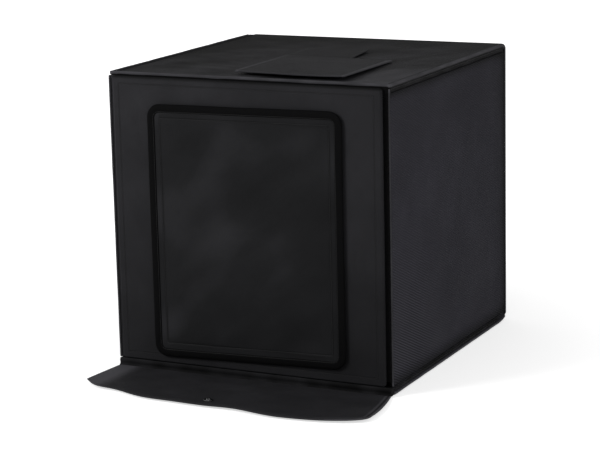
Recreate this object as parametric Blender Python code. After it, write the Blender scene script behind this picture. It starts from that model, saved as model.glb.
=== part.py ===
# Light tent cube: a folding photo box of fabric-covered boards with a hook-and-loop door.
# Metres, +Z up. The origin is the middle of the footprint on the ground; the door faces -Y.

import math

import bmesh
import bpy
from mathutils import Matrix, Vector

# Whole box, outer faces
width = 0.400
depth = 0.420
height = 0.400

# Clearances
gap = 0.0003           # between pieces that touch
hinge_offset = 0.0002  # from a panel face to the fold line beside it

# Panels: a fabric cover wrapped round a board, with a silver lining on its inner face
panel = 0.006
skin = 0.0012
rim = 0.0015
lining = 0.0008
panel_corner = 0.004
edge_round = 0.0018
base_thick = 0.008
base_skin = 0.0016

# Fold lines of the collapsing tube, heights above the ground
left_fold_z = 0.004
right_fold_z = 0.012
top_fold_drop = 0.018

# Rolled seams that join the panels
seam_round = 0.003
seam_fine_round = 0.0006

# Hook and loop tapes on the edges
tape = 0.001
tape_edge = 0.0005     # bare panel left beside an edge tape
tape_round = 0.0002
back_tape_width = 0.014

# Door
door_foot = 0.013         # its lower edge above the ground
door_head_drop = 0.0035   # its upper edge below the top of the box
door_strip = 0.0085       # black strip between the door and the right corner
door_tape_width = 0.015
door_tape_inset = 0.0016
door_seam_width = 0.0052
door_seam_ends = 0.002

# Window in the door and the flap that covers it
flap_width = 0.280
flap_height = 0.338
flap_foot = 0.026
flap_corner = 0.016
flap_thick = 0.0028
binding_width = 0.0095
binding_overlap = 0.0006
flap_panel_thick = 0.0012
window_margin = 0.022
window_corner = 0.010
window_tape_width = 0.012

# Camera port in the top panel, its flap and the strip that the flap hangs on
port_x = 0.044
port_y = -0.086
port_width = 0.112
port_depth = 0.130
port_corner = 0.010
port_flap_x = 0.046    # middle of the flap, which hangs a little off the port's own
port_flap_y = -0.093
port_flap_width = 0.160
port_flap_depth = 0.181
port_flap_thick = 0.0024
port_flap_corner = 0.007
port_flap_round = 0.0008
port_skew = math.radians(-5.1)   # of the fold line
port_lean = math.radians(9.9)    # of the sides, which the cloth's racked cut puts off square
port_strip_width = 0.099
port_strip_depth = 0.074
port_strip_thick = 0.0014

# Closure flap on the ground in front of the box
closure_depth = 0.131
closure_thick = 0.0022
closure_rise = 0.0050      # of its left tip above the ground
closure_hinge_z = 0.0036
# Its front edge from left to right, as shares of half the width, the depth and the rise
closure_edge_shares = (
    (-0.990, 0.655, 1.00), (-0.885, 0.755, 0.70), (-0.720, 0.785, 0.46), (-0.490, 0.900, 0.40),
    (-0.250, 0.932, 0.42), (-0.027, 0.955, 0.48), (0.190, 0.945, 0.55), (0.425, 1.000, 0.44),
    (0.565, 1.002, 0.38), (0.780, 0.965, 0.44), (0.960, 0.890, 0.62), (1.055, 0.790, 0.70),
    (1.070, 0.650, 0.60),
)

# Snap of the closure flap, and its stud on the back wall
snap_x = -0.0054
snap_along_share = 0.4167  # of the flap's front edge, from its left end
snap_inset = 0.016         # from the flap's front edge
snap_radius = 0.006
snap_plate = 0.0008
snap_socket_high = 0.0018
snap_well = 0.0028
snap_shank = 0.0016
stud_below_top = 0.053
stud_high = 0.0030
stud_neck = 0.0014
stud_head = 0.0021

# Light bars under the top panel
bar_end_clear = 0.019  # from a side wall to the end of a bar's channel
bar_width = 0.024
bar_high = 0.0087
bar_wall = 0.0011
led_board_thick = 0.0012
led_size = 0.0035
led_high = 0.0007
led_pitch = 0.0088
cap_length = 0.004
jack_cap_length = 0.013
jack_bore = 0.0032
jack_depth = 0.009
pad_length = 0.024
front_bar_inset = 0.032
rear_bar_inset = 0.105
runner_x = 0.120
runner_width = 0.026
runner_end_margin = 0.006

corner_steps = 3
smooth_below = math.radians(35)  # edges between faces that turn less are shaded smooth

# Places that follow from the sizes above
half_width = width / 2
front_y = -depth / 2
back_y = depth / 2
stack = 2 * tape + 3 * gap                 # a closed pair of tapes between two panels
tube_front = front_y + panel + stack
tube_back = back_y - panel - stack
inner_x = half_width - panel
top_under = height - panel
top_fold_z = height - top_fold_drop
right_top_fold_z = top_fold_z + right_fold_z - left_fold_z
door_top = height - door_head_drop
door_back = front_y + panel
door_left = -half_width + gap
door_right = half_width - door_strip
door_panel_left = door_left + door_seam_width + gap
flap_top = flap_foot + flap_height
flap_back = front_y - tape - 2 * gap
flap_face = flap_back - flap_thick
lining_face = top_under + gap              # underside of the top panel's lining
runner_under = lining_face - gap - tape
bar_top = runner_under - 2 * gap - tape
bar_bottom = bar_top - bar_high
bar_length = 2 * (inner_x - bar_end_clear)
front_bar_y = front_y + front_bar_inset
rear_bar_y = back_y - rear_bar_inset
closure_hinge_y = front_y - gap
port_rack = math.tan(port_lean)
port_reach = (port_flap_depth + gap) / 2   # from the flap's middle to its fold line
port_hinge_x = port_flap_x - port_reach * (math.sin(port_skew) + port_rack * math.cos(port_skew))
port_hinge_y = port_flap_y + port_reach * (math.cos(port_skew) - port_rack * math.sin(port_skew))
port_hinge_z = height + port_strip_thick + 3 * gap

# Fold lines and slides, one empty each: name -> (place, parent)
hinges = {
    "left_wall_fold": ((-half_width - hinge_offset, 0, left_fold_z), None),
    "top_fold": ((-inner_x + hinge_offset, 0, top_fold_z), "left_wall_fold"),
    "right_wall_fold": ((inner_x - hinge_offset, 0, right_fold_z), None),
    "back_wall_fold": ((0, back_y + hinge_offset, left_fold_z), None),
    "door_hinge": ((-half_width - hinge_offset, door_back, 0), "left_wall_fold"),
    "window_flap_hinge": ((0, flap_face, flap_top + gap), "door_hinge"),
    "port_flap_hinge": ((port_hinge_x, port_hinge_y, port_hinge_z), "top_fold"),
    "closure_hinge": ((0, closure_hinge_y, closure_hinge_z), None),
    "front_bar_slide": ((0, front_bar_y, bar_top), "top_fold"),
    "rear_bar_slide": ((0, rear_bar_y, bar_top), "top_fold"),
}

# Surface colours and finishes: colour, roughness, metallic
finishes = {
    "black_cloth": ((0.022, 0.021, 0.023), 0.62, 0.0),
    "ribbed_cloth": ((0.025, 0.023, 0.028), 0.66, 0.0),
    "window_cloth": ((0.014, 0.014, 0.015), 0.58, 0.0),
    "binding": ((0.006, 0.006, 0.007), 0.55, 0.0),
    "hook_loop": ((0.003, 0.003, 0.003), 0.95, 0.0),
    "silver_lining": ((0.62, 0.63, 0.64), 0.32, 0.7),
    "board": ((0.72, 0.72, 0.70), 0.55, 0.0),
    "dark_metal": ((0.12, 0.12, 0.13), 0.30, 1.0),
    "aluminium": ((0.70, 0.70, 0.71), 0.34, 1.0),
    "led_board": ((0.85, 0.84, 0.78), 0.45, 0.0),
    "black_plastic": ((0.02, 0.02, 0.02), 0.42, 0.0),
}

# How a panel lies: its outer face is local z = 0 and its thickness runs along local +z
lying = {
    "down": (0, 0, 0),
    "up": (math.pi, 0, 0),
    "right": (0, -math.pi / 2, 0),
    "left": (0, math.pi / 2, 0),
    "back": (math.pi / 2, 0, 0),
    "front": (-math.pi / 2, 0, 0),
}

# Local axes of a bar's section, for a bar that runs along X, Y or Z
along = {
    "X": Matrix(((0, 0, 1), (1, 0, 0), (0, 1, 0))),
    "Y": Matrix(((0, 1, 0), (0, 0, 1), (1, 0, 0))),
    "Z": Matrix.Identity(3),
}

for thing in list(bpy.data.objects):
    bpy.data.objects.remove(thing, do_unlink=True)

empties = {}


def add_hinges():
    for name, (place, parent) in hinges.items():
        empty = bpy.data.objects.new(name, None)
        bpy.context.collection.objects.link(empty)
        empty.empty_display_size = panel
        carry(empty, parent)
        empty.location = place
        empties[name] = empty


def carry(thing, hinge):
    # Every fold line is placed without a turn, so its inverse is a plain shift.
    if hinge:
        thing.parent = empties[hinge]
        thing.matrix_parent_inverse = Matrix.Translation(-Vector(hinges[hinge][0]))


def give_finish(thing, finish):
    colour, roughness, metallic = finishes[finish]
    material = bpy.data.materials.new(f"{thing.name}_{finish}")
    material.use_nodes = True
    shader = material.node_tree.nodes["Principled BSDF"]
    shader.inputs["Base Color"].default_value = (*colour, 1)
    shader.inputs["Roughness"].default_value = roughness
    shader.inputs["Metallic"].default_value = metallic
    material.diffuse_color = (*colour, 1)
    thing.data.materials.append(material)


def add_object(name, mesh_builder, finish, hinge=None, place=(0, 0, 0), turn=(0, 0, 0)):
    mesh = bpy.data.meshes.new(name)
    bmesh.ops.recalc_face_normals(mesh_builder, faces=mesh_builder.faces)
    mesh_builder.to_mesh(mesh)
    mesh_builder.free()
    mesh.shade_smooth()
    mesh.set_sharp_from_angle(angle=smooth_below)
    thing = bpy.data.objects.new(name, mesh)
    bpy.context.collection.objects.link(thing)
    carry(thing, hinge)
    thing.location = place
    thing.rotation_euler = turn
    if finish:
        give_finish(thing, finish)
    return thing


# A rounded rectangle from one corner to the other; radii start at the high corner and turn left.
def rounded(low, high, radii, steps=corner_steps):
    if not isinstance(radii, (tuple, list)):
        radii = (radii,) * 4
    points = []
    sides = ((1, 1), (-1, 1), (-1, -1), (1, -1))
    for turn, ((side_u, side_v), radius) in enumerate(zip(sides, radii)):
        centre_u = high[0] - radius if side_u > 0 else low[0] + radius
        centre_v = high[1] - radius if side_v > 0 else low[1] + radius
        for step in range(steps + 1):
            angle = (turn + step / steps) * math.pi / 2
            points.append((centre_u + radius * math.cos(angle), centre_v + radius * math.sin(angle)))
    return points


def centred(half_u, half_v, radius, inset=0.0, shift=(0, 0)):
    u = half_u - inset
    v = half_v - inset
    low = (shift[0] - u, shift[1] - v)
    high = (shift[0] + u, shift[1] + v)
    return rounded(low, high, max(radius - inset, gap))


# Joins outlines of equal point count into one closed skin, capped or closed into a ring.
def loft(outlines, ring=False):
    builder = bmesh.new()
    loops = [[builder.verts.new((u, v, w)) for u, v in outline] for outline, w in outlines]
    pairs = list(zip(loops, loops[1:]))
    if ring:
        pairs.append((loops[-1], loops[0]))
    count = len(loops[0])
    for lower, upper in pairs:
        for i in range(count):
            j = (i + 1) % count
            builder.faces.new((lower[i], lower[j], upper[j], upper[i]))
    if not ring:
        builder.faces.new(list(reversed(loops[0])))
        builder.faces.new(loops[-1])
    return builder


# Outline insets and heights round a folded fabric edge of the given radius.
def edge_arc(radius, steps=2):
    arc = []
    for step in range(steps + 1):
        angle = step / steps * math.pi / 2
        arc.append((radius * (1 - math.sin(angle)), radius * (1 - math.cos(angle))))
    return arc


# A cover: outer face, wrapped edges and an open pocket for the board on its inner side.
def cover(half_u, half_v, thick, skin_thick, hole=None):
    outlines = []
    for inset, w in edge_arc(edge_round):
        outlines.append((centred(half_u, half_v, panel_corner, inset), w))
    outlines.append((centred(half_u, half_v, panel_corner), thick))
    outlines.append((centred(half_u, half_v, panel_corner, rim), thick))
    outlines.append((centred(half_u, half_v, panel_corner, rim), skin_thick))
    if hole:
        hole_u, hole_v, hole_radius, shift = hole
        outlines.append((centred(hole_u, hole_v, hole_radius, -rim, shift), skin_thick))
        outlines.append((centred(hole_u, hole_v, hole_radius, -rim, shift), thick))
        outlines.append((centred(hole_u, hole_v, hole_radius, 0.0, shift), thick))
        for inset, w in reversed(edge_arc(edge_round)):
            outlines.append((centred(hole_u, hole_v, hole_radius, -inset, shift), w))
    return loft(outlines, ring=bool(hole))


# A sheet inside the cover's pocket, from one depth to another, with the hole left open.
def insert(half_u, half_v, start, stop, hole=None):
    inset = rim + gap
    outer = centred(half_u, half_v, panel_corner, inset)
    outlines = [(outer, start), (outer, stop)]
    if hole:
        hole_u, hole_v, hole_radius, shift = hole
        inner = centred(hole_u, hole_v, hole_radius, -inset, shift)
        outlines += [(inner, stop), (inner, start)]
    return loft(outlines, ring=bool(hole))


def add_panel(prefix, half_u, half_v, place, facing, hinge, cloth, thick=panel, skin_thick=skin, hole=None):
    turn = lying[facing]
    board_start = skin_thick + gap
    board_stop = thick - lining - 2 * gap
    add_object(f"{prefix}_cover", cover(half_u, half_v, thick, skin_thick, hole), cloth, hinge, place, turn)
    board = insert(half_u, half_v, board_start, board_stop, hole)
    add_object(f"{prefix}_board", board, "board", hinge, place, turn)
    inner = insert(half_u, half_v, board_stop + gap, thick - gap, hole)
    add_object(f"{prefix}_lining", inner, "silver_lining", hinge, place, turn)


# A straight strip between two corners, with its long edges rounded.
def add_strip(name, low, high, radii, axis, finish, hinge=None):
    matrix = along[axis]
    local_low = matrix.transposed() @ Vector(low)
    local_high = matrix.transposed() @ Vector(high)
    section = rounded(local_low[:2], local_high[:2], radii)
    strip = loft([(section, local_low[2]), (section, local_high[2])])
    return add_object(name, strip, finish, hinge, turn=matrix.to_euler())


# A flat plate of any outline, from one height to another.
def plate(points, start, stop):
    return loft([(points, start), (points, stop)])


# A turned piece: (radius, height) pairs from its lower middle to its upper middle.
def turned(profile, steps=20):
    builder = bmesh.new()
    corners = [builder.verts.new((radius, 0, z)) for radius, z in profile]
    edges = [builder.edges.new(pair) for pair in zip(corners, corners[1:])]
    bmesh.ops.spin(builder, geom=corners + edges, cent=(0, 0, 0), axis=(0, 0, 1),
                   angle=2 * math.pi, steps=steps, use_duplicate=False)
    bmesh.ops.remove_doubles(builder, verts=builder.verts, dist=gap / 10)
    return builder


def cut(thing, cutter):
    cutter.hide_render = True
    cutter.display_type = "WIRE"
    modifier = thing.modifiers.new("cut", "BOOLEAN")
    modifier.operation = "DIFFERENCE"
    modifier.object = cutter


def add_base():
    tube_depth = tube_back - tube_front
    middle_y = (tube_back + tube_front) / 2
    add_panel("base", inner_x - gap, tube_depth / 2, (0, middle_y, 0), "down", None,
              "black_cloth", base_thick, base_skin)
    left_top = left_fold_z - gap / 3
    add_strip("base_left_seam", (-half_width, tube_front, 0), (-inner_x, tube_back, left_top),
              (seam_fine_round, seam_fine_round, seam_round / 2, seam_fine_round), "Y", "black_cloth")
    add_strip("base_right_seam", (inner_x, tube_front, 0), (half_width, tube_back, right_fold_z - gap),
              (seam_fine_round, seam_fine_round, seam_fine_round, seam_round), "Y", "ribbed_cloth")
    add_strip("base_rear_seam", (-half_width, tube_back + gap, 0), (half_width, back_y, left_top),
              (seam_fine_round, seam_fine_round, seam_fine_round, seam_round / 2), "X", "black_cloth")
    add_strip("base_front_seam", (-half_width, front_y, 0),
              (half_width, tube_front - gap, right_fold_z - gap),
              (seam_fine_round, seam_round, seam_fine_round, seam_fine_round), "X", "black_cloth")


def add_left_wall():
    low = left_fold_z + gap
    high = top_fold_z - gap
    middle_y = (tube_back + tube_front) / 2
    add_panel("left_wall", (high - low) / 2, (tube_back - tube_front) / 2,
              (-half_width, middle_y, (low + high) / 2), "left", "left_wall_fold", "ribbed_cloth")
    add_strip("left_wall_front_seam", (-half_width, door_back + gap, right_fold_z),
              (-inner_x, tube_front - gap, high), seam_fine_round, "Z", "black_cloth", "left_wall_fold")
    add_strip("left_wall_loop_tape", (-half_width + tape_edge, tube_back + gap, low + tape_edge),
              (-inner_x - tape_edge, tube_back + gap + tape, high - tape_edge), tape_round, "Z",
              "hook_loop", "left_wall_fold")


def add_right_wall():
    low = right_fold_z + gap
    high = right_top_fold_z - gap
    middle_y = (tube_back + tube_front) / 2
    add_panel("right_wall", (high - low) / 2, (tube_back - tube_front) / 2,
              (half_width, middle_y, (low + high) / 2), "right", "right_wall_fold", "ribbed_cloth")
    for side, start in (("front", tube_front - gap - tape), ("rear", tube_back + gap)):
        add_strip(f"right_wall_{side}_loop_tape", (inner_x + tape_edge, start, low + tape_edge),
                  (half_width - tape_edge, start + tape, high - tape_edge), tape_round, "Z",
                  "hook_loop", "right_wall_fold")


def add_back_wall():
    low = left_fold_z + gap
    add_panel("back_wall", half_width, (height - low) / 2, (0, back_y, (low + height) / 2), "back",
              "back_wall_fold", "black_cloth")
    outer = half_width - tape_edge
    inner = half_width - back_tape_width
    top_edge = height - tape_edge
    tape_foot = low + tape_edge
    tape_under = height - back_tape_width
    arch = [(outer, tape_foot), (outer, top_edge), (-outer, top_edge), (-outer, tape_foot),
            (-inner, tape_foot), (-inner, tape_under), (inner, tape_under), (inner, tape_foot)]
    tape_y = back_y - panel - gap
    add_object("back_wall_hook_tape", plate(arch, 0, tape), "hook_loop", "back_wall_fold",
               (0, tape_y, 0), lying["back"])
    stud = [(0, 0), (snap_radius, 0), (snap_radius, snap_plate), (stud_neck, snap_plate),
            (stud_neck, snap_plate + stud_neck / 2), (stud_head, stud_high - stud_head / 2),
            (stud_head / 2, stud_high), (0, stud_high)]
    add_object("back_wall_snap_stud", turned(stud), "dark_metal", "back_wall_fold",
               (snap_x, back_y + gap, height - stud_below_top), lying["front"])


def add_top():
    middle_y = (tube_back + tube_front) / 2
    # The panel is turned over about X, so the hole's own y is reversed.
    port = (port_width / 2, port_depth / 2, port_corner, (port_x, middle_y - port_y))
    add_panel("top", inner_x - gap, (tube_back - tube_front) / 2, (0, middle_y, height), "up",
              "top_fold", "black_cloth", hole=port)
    add_strip("top_left_seam", (-half_width, tube_front, top_fold_z + gap),
              (-inner_x, tube_back, height),
              (seam_fine_round, seam_round, seam_fine_round, seam_fine_round), "Y", "black_cloth",
              "top_fold")
    add_strip("top_right_seam", (inner_x, tube_front, right_top_fold_z + gap),
              (half_width, tube_back, height),
              (seam_round, seam_fine_round, seam_fine_round, seam_fine_round), "Y", "black_cloth",
              "top_fold")
    for side, start in (("front", tube_front - gap - tape), ("rear", tube_back + gap)):
        add_strip(f"top_{side}_loop_tape", (-inner_x, start, top_under + tape_edge),
                  (inner_x, start + tape, height - tape_edge), tape_round, "X", "hook_loop",
                  "top_fold")
    for side, x in (("left", -runner_x), ("right", runner_x)):
        add_strip(f"top_{side}_loop_runner",
                  (x - runner_width / 2, tube_front + runner_end_margin, runner_under),
                  (x + runner_width / 2, tube_back - runner_end_margin, runner_under + tape),
                  tape_round, "Y", "hook_loop", "top_fold")


# The flap and its strip share one racked frame: u along the fold line, v towards the back.
def racked(points):
    return [(u - v * port_rack, v) for u, v in points]


def port_frame(u, v):
    turn = Matrix.Rotation(port_skew, 2)
    return Vector((port_flap_x, port_flap_y)) + turn @ Vector(racked([(u, v)])[0])


def add_port_flap():
    half_u = port_flap_width / 2
    half_v = port_flap_depth / 2
    outlines = []
    for inset, w in edge_arc(port_flap_round):
        outlines.append((racked(centred(half_u, half_v, port_flap_corner, inset)), w))
    for inset, w in reversed(edge_arc(port_flap_round)):
        outline = racked(centred(half_u, half_v, port_flap_corner, inset))
        outlines.append((outline, port_flap_thick - w))
    middle = port_frame(0, 0)
    add_object("port_flap", loft(outlines), "black_cloth", "port_flap_hinge",
               (middle.x, middle.y, height + gap), (0, 0, port_skew))
    strip_middle = port_frame((port_strip_width - port_flap_width) / 2,
                              half_v + gap + port_strip_depth / 2)
    strip = racked(centred(port_strip_width / 2, port_strip_depth / 2, port_flap_round))
    add_object("port_hinge_strip", plate(strip, 0, port_strip_thick), "black_cloth", "top_fold",
               (strip_middle.x, strip_middle.y, height + gap), (0, 0, port_skew))


def add_door():
    half_u = (door_right - door_panel_left) / 2
    half_v = (door_top - door_foot) / 2
    middle_x = (door_right + door_panel_left) / 2
    middle_z = (door_top + door_foot) / 2
    flap_middle = flap_foot + flap_height / 2
    # The panel is turned up about X, so local y runs downwards.
    window = (flap_width / 2 - window_margin, flap_height / 2 - window_margin, window_corner,
              (-middle_x, middle_z - flap_middle))
    add_panel("door", half_u, half_v, (middle_x, front_y, middle_z), "front", "door_hinge",
              "black_cloth", hole=window)
    add_strip("door_hinge_seam", (door_left, front_y + gap, door_foot + door_seam_ends),
              (door_left + door_seam_width, door_back, door_top - door_seam_ends),
              (seam_fine_round, seam_fine_round, seam_round, seam_fine_round), "Z", "black_cloth",
              "door_hinge")
    outer_x = half_width - door_tape_inset
    outer_z = height - door_tape_inset
    inner_z = outer_z - door_tape_width
    left_x = door_panel_left + door_seam_width
    foot_z = door_foot + door_seam_width
    corner = [(outer_x, foot_z), (outer_x, outer_z), (left_x, outer_z), (left_x, inner_z),
              (outer_x - door_tape_width, inner_z), (outer_x - door_tape_width, foot_z)]
    add_object("door_hook_tape", plate(corner, 0, tape), "hook_loop", "door_hinge",
               (0, door_back + gap + tape, 0), lying["back"])
    outer = (flap_width / 2 - binding_width / 2, flap_height / 2 - binding_width / 2, flap_corner)
    inner = window_tape_width
    ring = [(centred(*outer), 0), (centred(*outer), tape), (centred(*outer, inner), tape),
            (centred(*outer, inner), 0)]
    add_object("window_loop_ring", loft(ring, ring=True), "hook_loop", "door_hinge",
               (0, front_y - gap, flap_middle), lying["back"])


def add_window_flap():
    half_u = flap_width / 2
    half_v = flap_height / 2
    place = (0, flap_back, flap_foot + half_v)
    arc = edge_arc(flap_thick / 2)
    outlines = [(centred(half_u, half_v, flap_corner, inset), w) for inset, w in arc]
    outlines += [(centred(half_u, half_v, flap_corner, inset), flap_thick - w)
                 for inset, w in reversed(arc)]
    outlines += [(centred(half_u, half_v, flap_corner, binding_width), flap_thick - binding_overlap),
                 (centred(half_u, half_v, flap_corner, binding_width), binding_overlap)]
    add_object("window_flap_binding", loft(outlines, ring=True), "binding", "window_flap_hinge",
               place, lying["back"])
    start = (flap_thick - flap_panel_thick) / 2
    inset = binding_width + gap
    sheet = centred(half_u, half_v, flap_corner, inset)
    add_object("window_flap_panel", plate(sheet, start, start + flap_panel_thick), "window_cloth",
               "window_flap_hinge", place, lying["back"])


# A smooth curve through the shares of the flap's front edge; along runs from 0 to 1.
def closure_edge(along):
    spans = len(closure_edge_shares) - 1
    first = min(int(along * spans), spans - 1)
    t = along * spans - first
    keys = [closure_edge_shares[min(max(first + step, 0), spans)] for step in (-1, 0, 1, 2)]
    return [b + t / 2 * (c - a + t * (2 * a - 5 * b + 4 * c - d + t * (3 * b - 3 * c + d - a)))
            for a, b, c, d in zip(*keys)]


def closure_point(along, share_out):
    across, out, rise = closure_edge(along)
    end_share = abs(closure_edge_shares[0 if across < 0 else -1][0])
    at_fold = across / end_share
    x = half_width * (at_fold + (across - at_fold) * math.sin(share_out * math.pi / 2))
    y = closure_hinge_y - 2 * gap - share_out * out * closure_depth
    return x, y, share_out * rise * closure_rise


def add_closure_flap():
    columns = 36
    rows = 5
    builder = bmesh.new()
    under = {}
    over = {}
    for column in range(columns + 1):
        for row in range(rows + 1):
            x, y, lift = closure_point(column / columns, row / rows)
            under[column, row] = builder.verts.new((x, y, lift))
            over[column, row] = builder.verts.new((x, y, lift + closure_thick))
    for column in range(columns):
        for row in range(rows):
            ring = [(column, row), (column + 1, row), (column + 1, row + 1), (column, row + 1)]
            builder.faces.new([over[key] for key in ring])
            builder.faces.new([under[key] for key in reversed(ring)])
    border = [(column, 0) for column in range(columns + 1)]
    border += [(columns, row) for row in range(1, rows + 1)]
    border += [(column, rows) for column in reversed(range(columns))]
    border += [(0, row) for row in reversed(range(1, rows))]
    for key, following in zip(border, border[1:] + border[:1]):
        builder.faces.new((under[key], under[following], over[following], over[key]))
    flap = add_object("closure_flap", builder, "black_cloth", "closure_hinge")

    reach = closure_edge(snap_along_share)[1] * closure_depth
    place = closure_point(snap_along_share, (reach - snap_inset) / reach)
    hole_radius = snap_shank + gap
    hole = [(0, -closure_thick), (hole_radius, -closure_thick), (hole_radius, 2 * closure_thick),
            (0, 2 * closure_thick)]
    cut(flap, add_object("snap_hole_cutter", turned(hole), None, "closure_hinge", place))
    rivet_top = closure_thick + gap + snap_socket_high - snap_plate
    rivet = [(0, -gap - snap_plate), (snap_radius, -gap - snap_plate), (snap_radius, -gap),
             (snap_shank, -gap), (snap_shank, rivet_top), (0, rivet_top)]
    add_object("closure_snap_rivet", turned(rivet), "dark_metal", "closure_hinge", place)
    low = closure_thick + gap
    high = low + snap_socket_high
    socket = [(snap_shank + gap, low), (snap_radius, low), (snap_radius, high - snap_plate / 2),
              (snap_radius - snap_plate / 2, high), (snap_well, high),
              (snap_well, high - snap_plate), (snap_shank + gap, high - snap_plate),
              (snap_shank + gap, low)]
    add_object("closure_snap_socket", turned(socket), "dark_metal", "closure_hinge", place)


def channel_section():
    half = bar_width / 2
    wall = bar_wall
    return [(half, 0), (half, bar_high), (-half, bar_high), (-half, 0), (-half + wall, 0),
            (-half + wall, bar_high - wall), (half - wall, bar_high - wall), (half - wall, 0)]


# The board is one strip with a row of light packages raised from its lower face.
def led_board():
    half = bar_width / 2 - bar_wall - gap
    length = bar_length - 2 * gap
    count = int(length / led_pitch)
    starts = [(i - (count - 1) / 2) * led_pitch - led_size / 2 for i in range(count)]
    cuts = [-length / 2]
    for start in starts:
        cuts += [start, start + led_size]
    cuts.append(length / 2)
    lanes = [-half, -led_size / 2, led_size / 2, half]
    builder = bmesh.new()
    grid = [[builder.verts.new((x, y, 0)) for y in lanes] for x in cuts]
    packages = []
    for i in range(len(cuts) - 1):
        for j in range(len(lanes) - 1):
            face = builder.faces.new((grid[i][j], grid[i][j + 1], grid[i + 1][j + 1], grid[i + 1][j]))
            if j == 1 and i % 2 == 1:
                packages.append(face)
    lower = builder.faces[:]
    back = bmesh.ops.extrude_face_region(builder, geom=lower, use_keep_orig=True)
    raised = [item for item in back["geom"] if isinstance(item, bmesh.types.BMVert)]
    bmesh.ops.translate(builder, verts=raised, vec=(0, 0, led_board_thick))
    for face in bmesh.ops.extrude_discrete_faces(builder, faces=packages)["faces"]:
        bmesh.ops.translate(builder, verts=face.verts, vec=(0, 0, -led_high))
    return builder


def add_light_bar(prefix, y, hinge):
    half = bar_length / 2
    channel = loft([(channel_section(), -half), (channel_section(), half)])
    add_object(f"{prefix}_channel", channel, "aluminium", hinge, (0, y, bar_bottom),
               along["X"].to_euler())
    board_z = bar_top - bar_wall - gap - led_board_thick
    add_object(f"{prefix}_led_board", led_board(), "led_board", hinge, (0, y, board_z))
    low = (y - bar_width / 2, bar_bottom)
    high = (y + bar_width / 2, bar_top)
    add_strip(f"{prefix}_end_cap", (-half - gap - cap_length, *low), (-half - gap, *high),
              seam_fine_round, "X", "black_plastic", hinge)
    jack_start = half + gap
    cap = add_strip(f"{prefix}_jack_cap", (jack_start, *low), (jack_start + jack_cap_length, *high),
                    seam_fine_round, "X", "black_plastic", hinge)
    middle_z = (bar_top + bar_bottom) / 2
    bore = [(0, 0), (jack_bore, 0), (jack_bore, 2 * jack_depth), (0, 2 * jack_depth)]
    bore_place = (jack_start + jack_cap_length - jack_depth, y, middle_z)
    cut(cap, add_object(f"{prefix}_bore_cutter", turned(bore, steps=16), None, hinge, bore_place,
                        along["X"].to_euler()))
    for side, x in (("left", -runner_x), ("right", runner_x)):
        add_strip(f"{prefix}_{side}_hook_pad",
                  (x - pad_length / 2, y - bar_width / 2 + bar_wall, bar_top + gap),
                  (x + pad_length / 2, y + bar_width / 2 - bar_wall, bar_top + gap + tape),
                  tape_round, "X", "hook_loop", hinge)


add_hinges()
add_base()
add_left_wall()
add_right_wall()
add_back_wall()
add_top()
add_port_flap()
add_door()
add_window_flap()
add_closure_flap()
add_light_bar("front_bar", front_bar_y, "front_bar_slide")
add_light_bar("rear_bar", rear_bar_y, "rear_bar_slide")
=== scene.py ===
# Light tent cube in black cloth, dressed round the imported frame.
# Metres, +Z up, the door faces -Y. Every piece is made in place, so its object sits at the origin.

import math

import bmesh
import bpy
from mathutils import Matrix, Vector, noise


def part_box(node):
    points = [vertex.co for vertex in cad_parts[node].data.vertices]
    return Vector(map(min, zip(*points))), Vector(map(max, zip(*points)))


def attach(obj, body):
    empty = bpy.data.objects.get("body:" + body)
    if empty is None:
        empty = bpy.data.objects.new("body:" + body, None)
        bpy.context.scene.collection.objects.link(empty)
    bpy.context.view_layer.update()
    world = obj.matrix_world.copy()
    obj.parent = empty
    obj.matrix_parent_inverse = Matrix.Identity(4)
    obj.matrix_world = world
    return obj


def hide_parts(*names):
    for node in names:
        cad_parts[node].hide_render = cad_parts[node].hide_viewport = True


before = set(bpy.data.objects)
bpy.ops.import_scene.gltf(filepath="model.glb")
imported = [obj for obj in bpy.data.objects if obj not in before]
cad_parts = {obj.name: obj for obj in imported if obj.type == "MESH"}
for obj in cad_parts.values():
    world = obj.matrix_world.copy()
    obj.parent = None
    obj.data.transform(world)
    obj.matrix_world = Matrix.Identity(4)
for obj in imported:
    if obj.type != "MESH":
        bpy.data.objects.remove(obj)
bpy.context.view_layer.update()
print("frame loaded:", len(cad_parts), "nodes")


# Shader maths

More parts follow.
